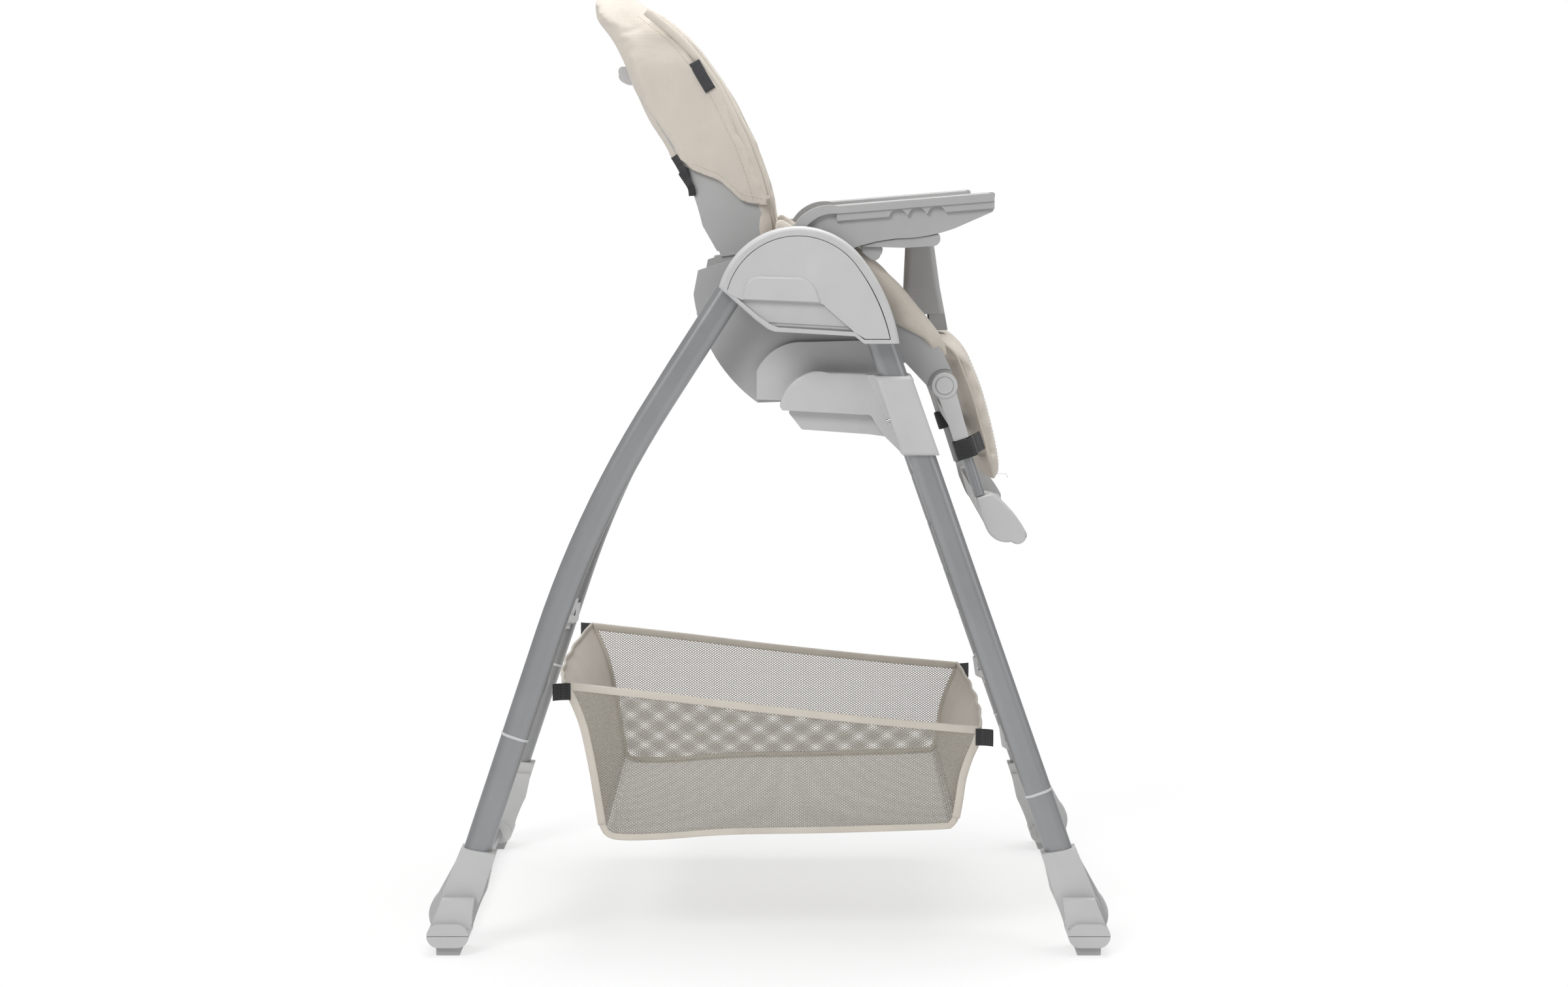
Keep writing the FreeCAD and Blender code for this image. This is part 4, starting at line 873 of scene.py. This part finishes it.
def basket_pieces():
    pieces, to_declare = [], []
    for side, sign in SIDES:
        flat = coons(SIDE_BASE, SIDE_TOP, SIDE_REAR, SIDE_FRONT, 90, 36)
        grid = np.zeros((*flat.shape[:2], 3))
        for j in range(flat.shape[0]):
            for i in range(flat.shape[1]):
                u, v = i / (flat.shape[1] - 1), j / (flat.shape[0] - 1)
                belly = 3.5 * math.sin(math.pi * u) * math.sin(math.pi * v) ** 0.8
                grid[j, i] = (flat[j, i][0], sign * (BASKET_HALF - belly), flat[j, i][1])
        panel = cloth_panel(f"basket_net_{side}", grid, "net_side", 0.5)
        pieces.append(panel)
        to_declare.append((panel, grid))
    ends = {}
    for name, line, way, bow, sag in (("rear", SIDE_REAR, -1, 16.0, 9.0), ("front", SIDE_FRONT, 1, 9.0, 4.0)):
        edge = curve(line, 31)
        grid = np.zeros((31, 61, 3))
        for j in range(31):
            t = j / 30
            for i in range(61):
                y = -BASKET_HALF + 2 * BASKET_HALF * i / 60
                mid = 1 - (y / BASKET_HALF) ** 2
                ripple = 1.2 * math.sin(y * 0.07 + 1.0) * t * mid
                grid[j, i] = (edge[j][0] + way * (bow * mid * t * t + ripple), y,
                              edge[j][1] - sag * mid * t * t)
        panel = cloth_panel(f"basket_end_{name}", grid, "basket_end", 0.9)
        pieces.append(panel)
        to_declare.append((panel, grid))
        ends[name] = grid
    base = curve(SIDE_BASE, 91)
    grid = np.zeros((61, 91, 3))
    for j in range(61):
        y = -BASKET_HALF + 2 * BASKET_HALF * j / 60
        mid = 1 - (y / BASKET_HALF) ** 2
        for i in range(91):
            u = i / 90
            grid[j, i] = (base[i][0], y, base[i][1] - 1.0 * mid * math.sin(math.pi * u))
    panel = cloth_panel("basket_floor", grid, "net_floor", 0.6)
    pieces.append(panel)
    to_declare.append((panel, grid))

    edges = []
    for side, sign in SIDES:
        for name, line in (("rear", SIDE_REAR), ("front", SIDE_FRONT)):
            path = [(x, sign * (BASKET_HALF + 0.4), z) for x, z in curve(line, 30)]
            edges.append(ribbon(f"edge_{name}_{side}", path, (0, sign, 0), 9.0, 2.6, "binding"))
        path = [(x, sign * (BASKET_HALF + 0.4), z + 1.0) for x, z in curve(SIDE_BASE, 80)]
        edges.append(ribbon(f"edge_base_{side}", path, (0, sign, 0), 7.5, 2.4, "binding"))
        path = [(x, sign * (BASKET_HALF + 0.4), z) for x, z in curve(SIDE_TOP, 80)]
        edges.append(ribbon(f"edge_top_{side}", path, (0, sign, 0), 9.0, 3.0, "binding"))
    for name, grid in ends.items():
        way = -1 if name == "rear" else 1
        edges.append(ribbon(f"edge_end_{name}", grid[-1], (way, 0, 0), 9.0, 3.0, "binding"))
    binding = joined("basket_edges", edges)
    pieces.append(binding)

    loops = []
    for side, sign in SIDES:
        for name, x, z, way in (("rear", -222, 283, -1), ("front", 232, 232, 1)):
            path = [(x - way * 3, sign * 221.4, z), (x + way * 4, sign * 222.2, z),
                    (x + way * 9, sign * 223.6, z), (x + way * 14, sign * 226.2, z),
                    (x + way * 15.5, sign * 228.3, z)]
            loops.append(ribbon(f"strap_{name}_{side}", curve(path, 20), (0, sign, 0), 19.0, 1.6, "webbing"))
    loops = joined("basket_straps", loops)
    pieces.append(loops)

    for panel, grid in to_declare:
        declared(grid)
    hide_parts("basket")
    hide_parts("basket_webbing")
    for piece in pieces:
        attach(piece, "front_frame")
        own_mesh(piece)


# ---------------------------------------------------------------- studio
WHITE = (1.0, 1.0, 1.0, 1.0)
FLOOR_Y = 2.0
CAMERA_AT = (0.0206, -3.4916, 0.8541)
CAMERA_PITCH = math.radians(83.874)
LENS, LENS_SHIFT = 68.83, -0.0021


def studio():
    bpy.ops.mesh.primitive_plane_add(size=14.0, location=(0, FLOOR_Y, 0))
    floor = bpy.context.object
    floor.name = "floor"
    finish = Finish("floor_paper", 0.85)
    drift = finish.noise(3.0, 2.0)
    finish.colour(finish.mix(drift, linear(250, 250, 250), linear(254, 254, 254)))
    centred = finish.feed(finish.node("ShaderNodeVectorMath", operation="ADD"), i0=finish.position,
                          i1=(0.0, FLOOR_Y, 0.0))
    far = finish.feed(finish.node("ShaderNodeVectorMath", operation="LENGTH"), i0=centred.outputs[0])
    fade = finish.spread(far.outputs["Value"], 0.35, 1.0, 0.62, 1.0)
    glow = finish.feed(finish.node("ShaderNodeEmission"), Color=WHITE, Strength=1.0)
    blend = finish.feed(finish.node("ShaderNodeMixShader"), i0=fade, i1=finish.shader.outputs[0],
                        i2=glow.outputs[0])
    finish.feed(next(n for n in finish.tree.nodes if n.type == "OUTPUT_MATERIAL"), Surface=blend.outputs[0])
    floor.data.materials.append(finish.material)

    scene = bpy.context.scene
    scene.view_settings.view_transform = "Standard"
    scene.view_settings.look = "None"
    world = bpy.data.worlds.new("studio")
    scene.world = world
    world.use_nodes = True
    nodes, links = world.node_tree.nodes, world.node_tree.links
    seen = nodes["Background"]
    seen.inputs["Color"].default_value = WHITE
    seen.inputs["Strength"].default_value = 1.0
    lit = nodes.new("ShaderNodeBackground")
    lit.inputs["Color"].default_value = WHITE
    lit.inputs["Strength"].default_value = 0.3
    ray = nodes.new("ShaderNodeLightPath")
    choose = nodes.new("ShaderNodeMixShader")
    links.new(ray.outputs["Is Camera Ray"], choose.inputs[0])
    links.new(lit.outputs[0], choose.inputs[1])
    links.new(seen.outputs[0], choose.inputs[2])
    links.new(choose.outputs[0], nodes["World Output"].inputs["Surface"])

    def lamp(name, place_at, aim, size, power):
        data = bpy.data.lights.new(name, "AREA")
        data.shape, data.size, data.size_y, data.energy = "RECTANGLE", size[0], size[1], power
        light = bpy.data.objects.new(name, data)
        light.location = place_at
        light.rotation_euler = (Vector(aim) - Vector(place_at)).to_track_quat("-Z", "Y").to_euler()
        scene.collection.objects.link(light)
    lamp("key", (-1.4, -2.4, 2.6), (0, 0, 0.5), (1.3, 1.3), 52.0)
    lamp("fill", (2.6, -1.6, 1.6), (0, 0, 0.5), (1.6, 2.0), 13.0)
    lamp("top", (0.2, 0.3, 3.0), (0, 0, 0.4), (2.0, 2.0), 66.0)

    data = bpy.data.cameras.new("camera")
    data.sensor_width, data.lens, data.shift_x = 36.0, LENS, LENS_SHIFT
    camera = bpy.data.objects.new("camera", data)
    camera.location = CAMERA_AT
    camera.rotation_euler = (CAMERA_PITCH, 0, 0)
    scene.collection.objects.link(camera)
    scene.camera = camera


studio()
back_cushion = back_pieces()
seat_cushion = seat_pieces()
harness(back_cushion, seat_cushion)
leg_rest_pieces()
basket_pieces()
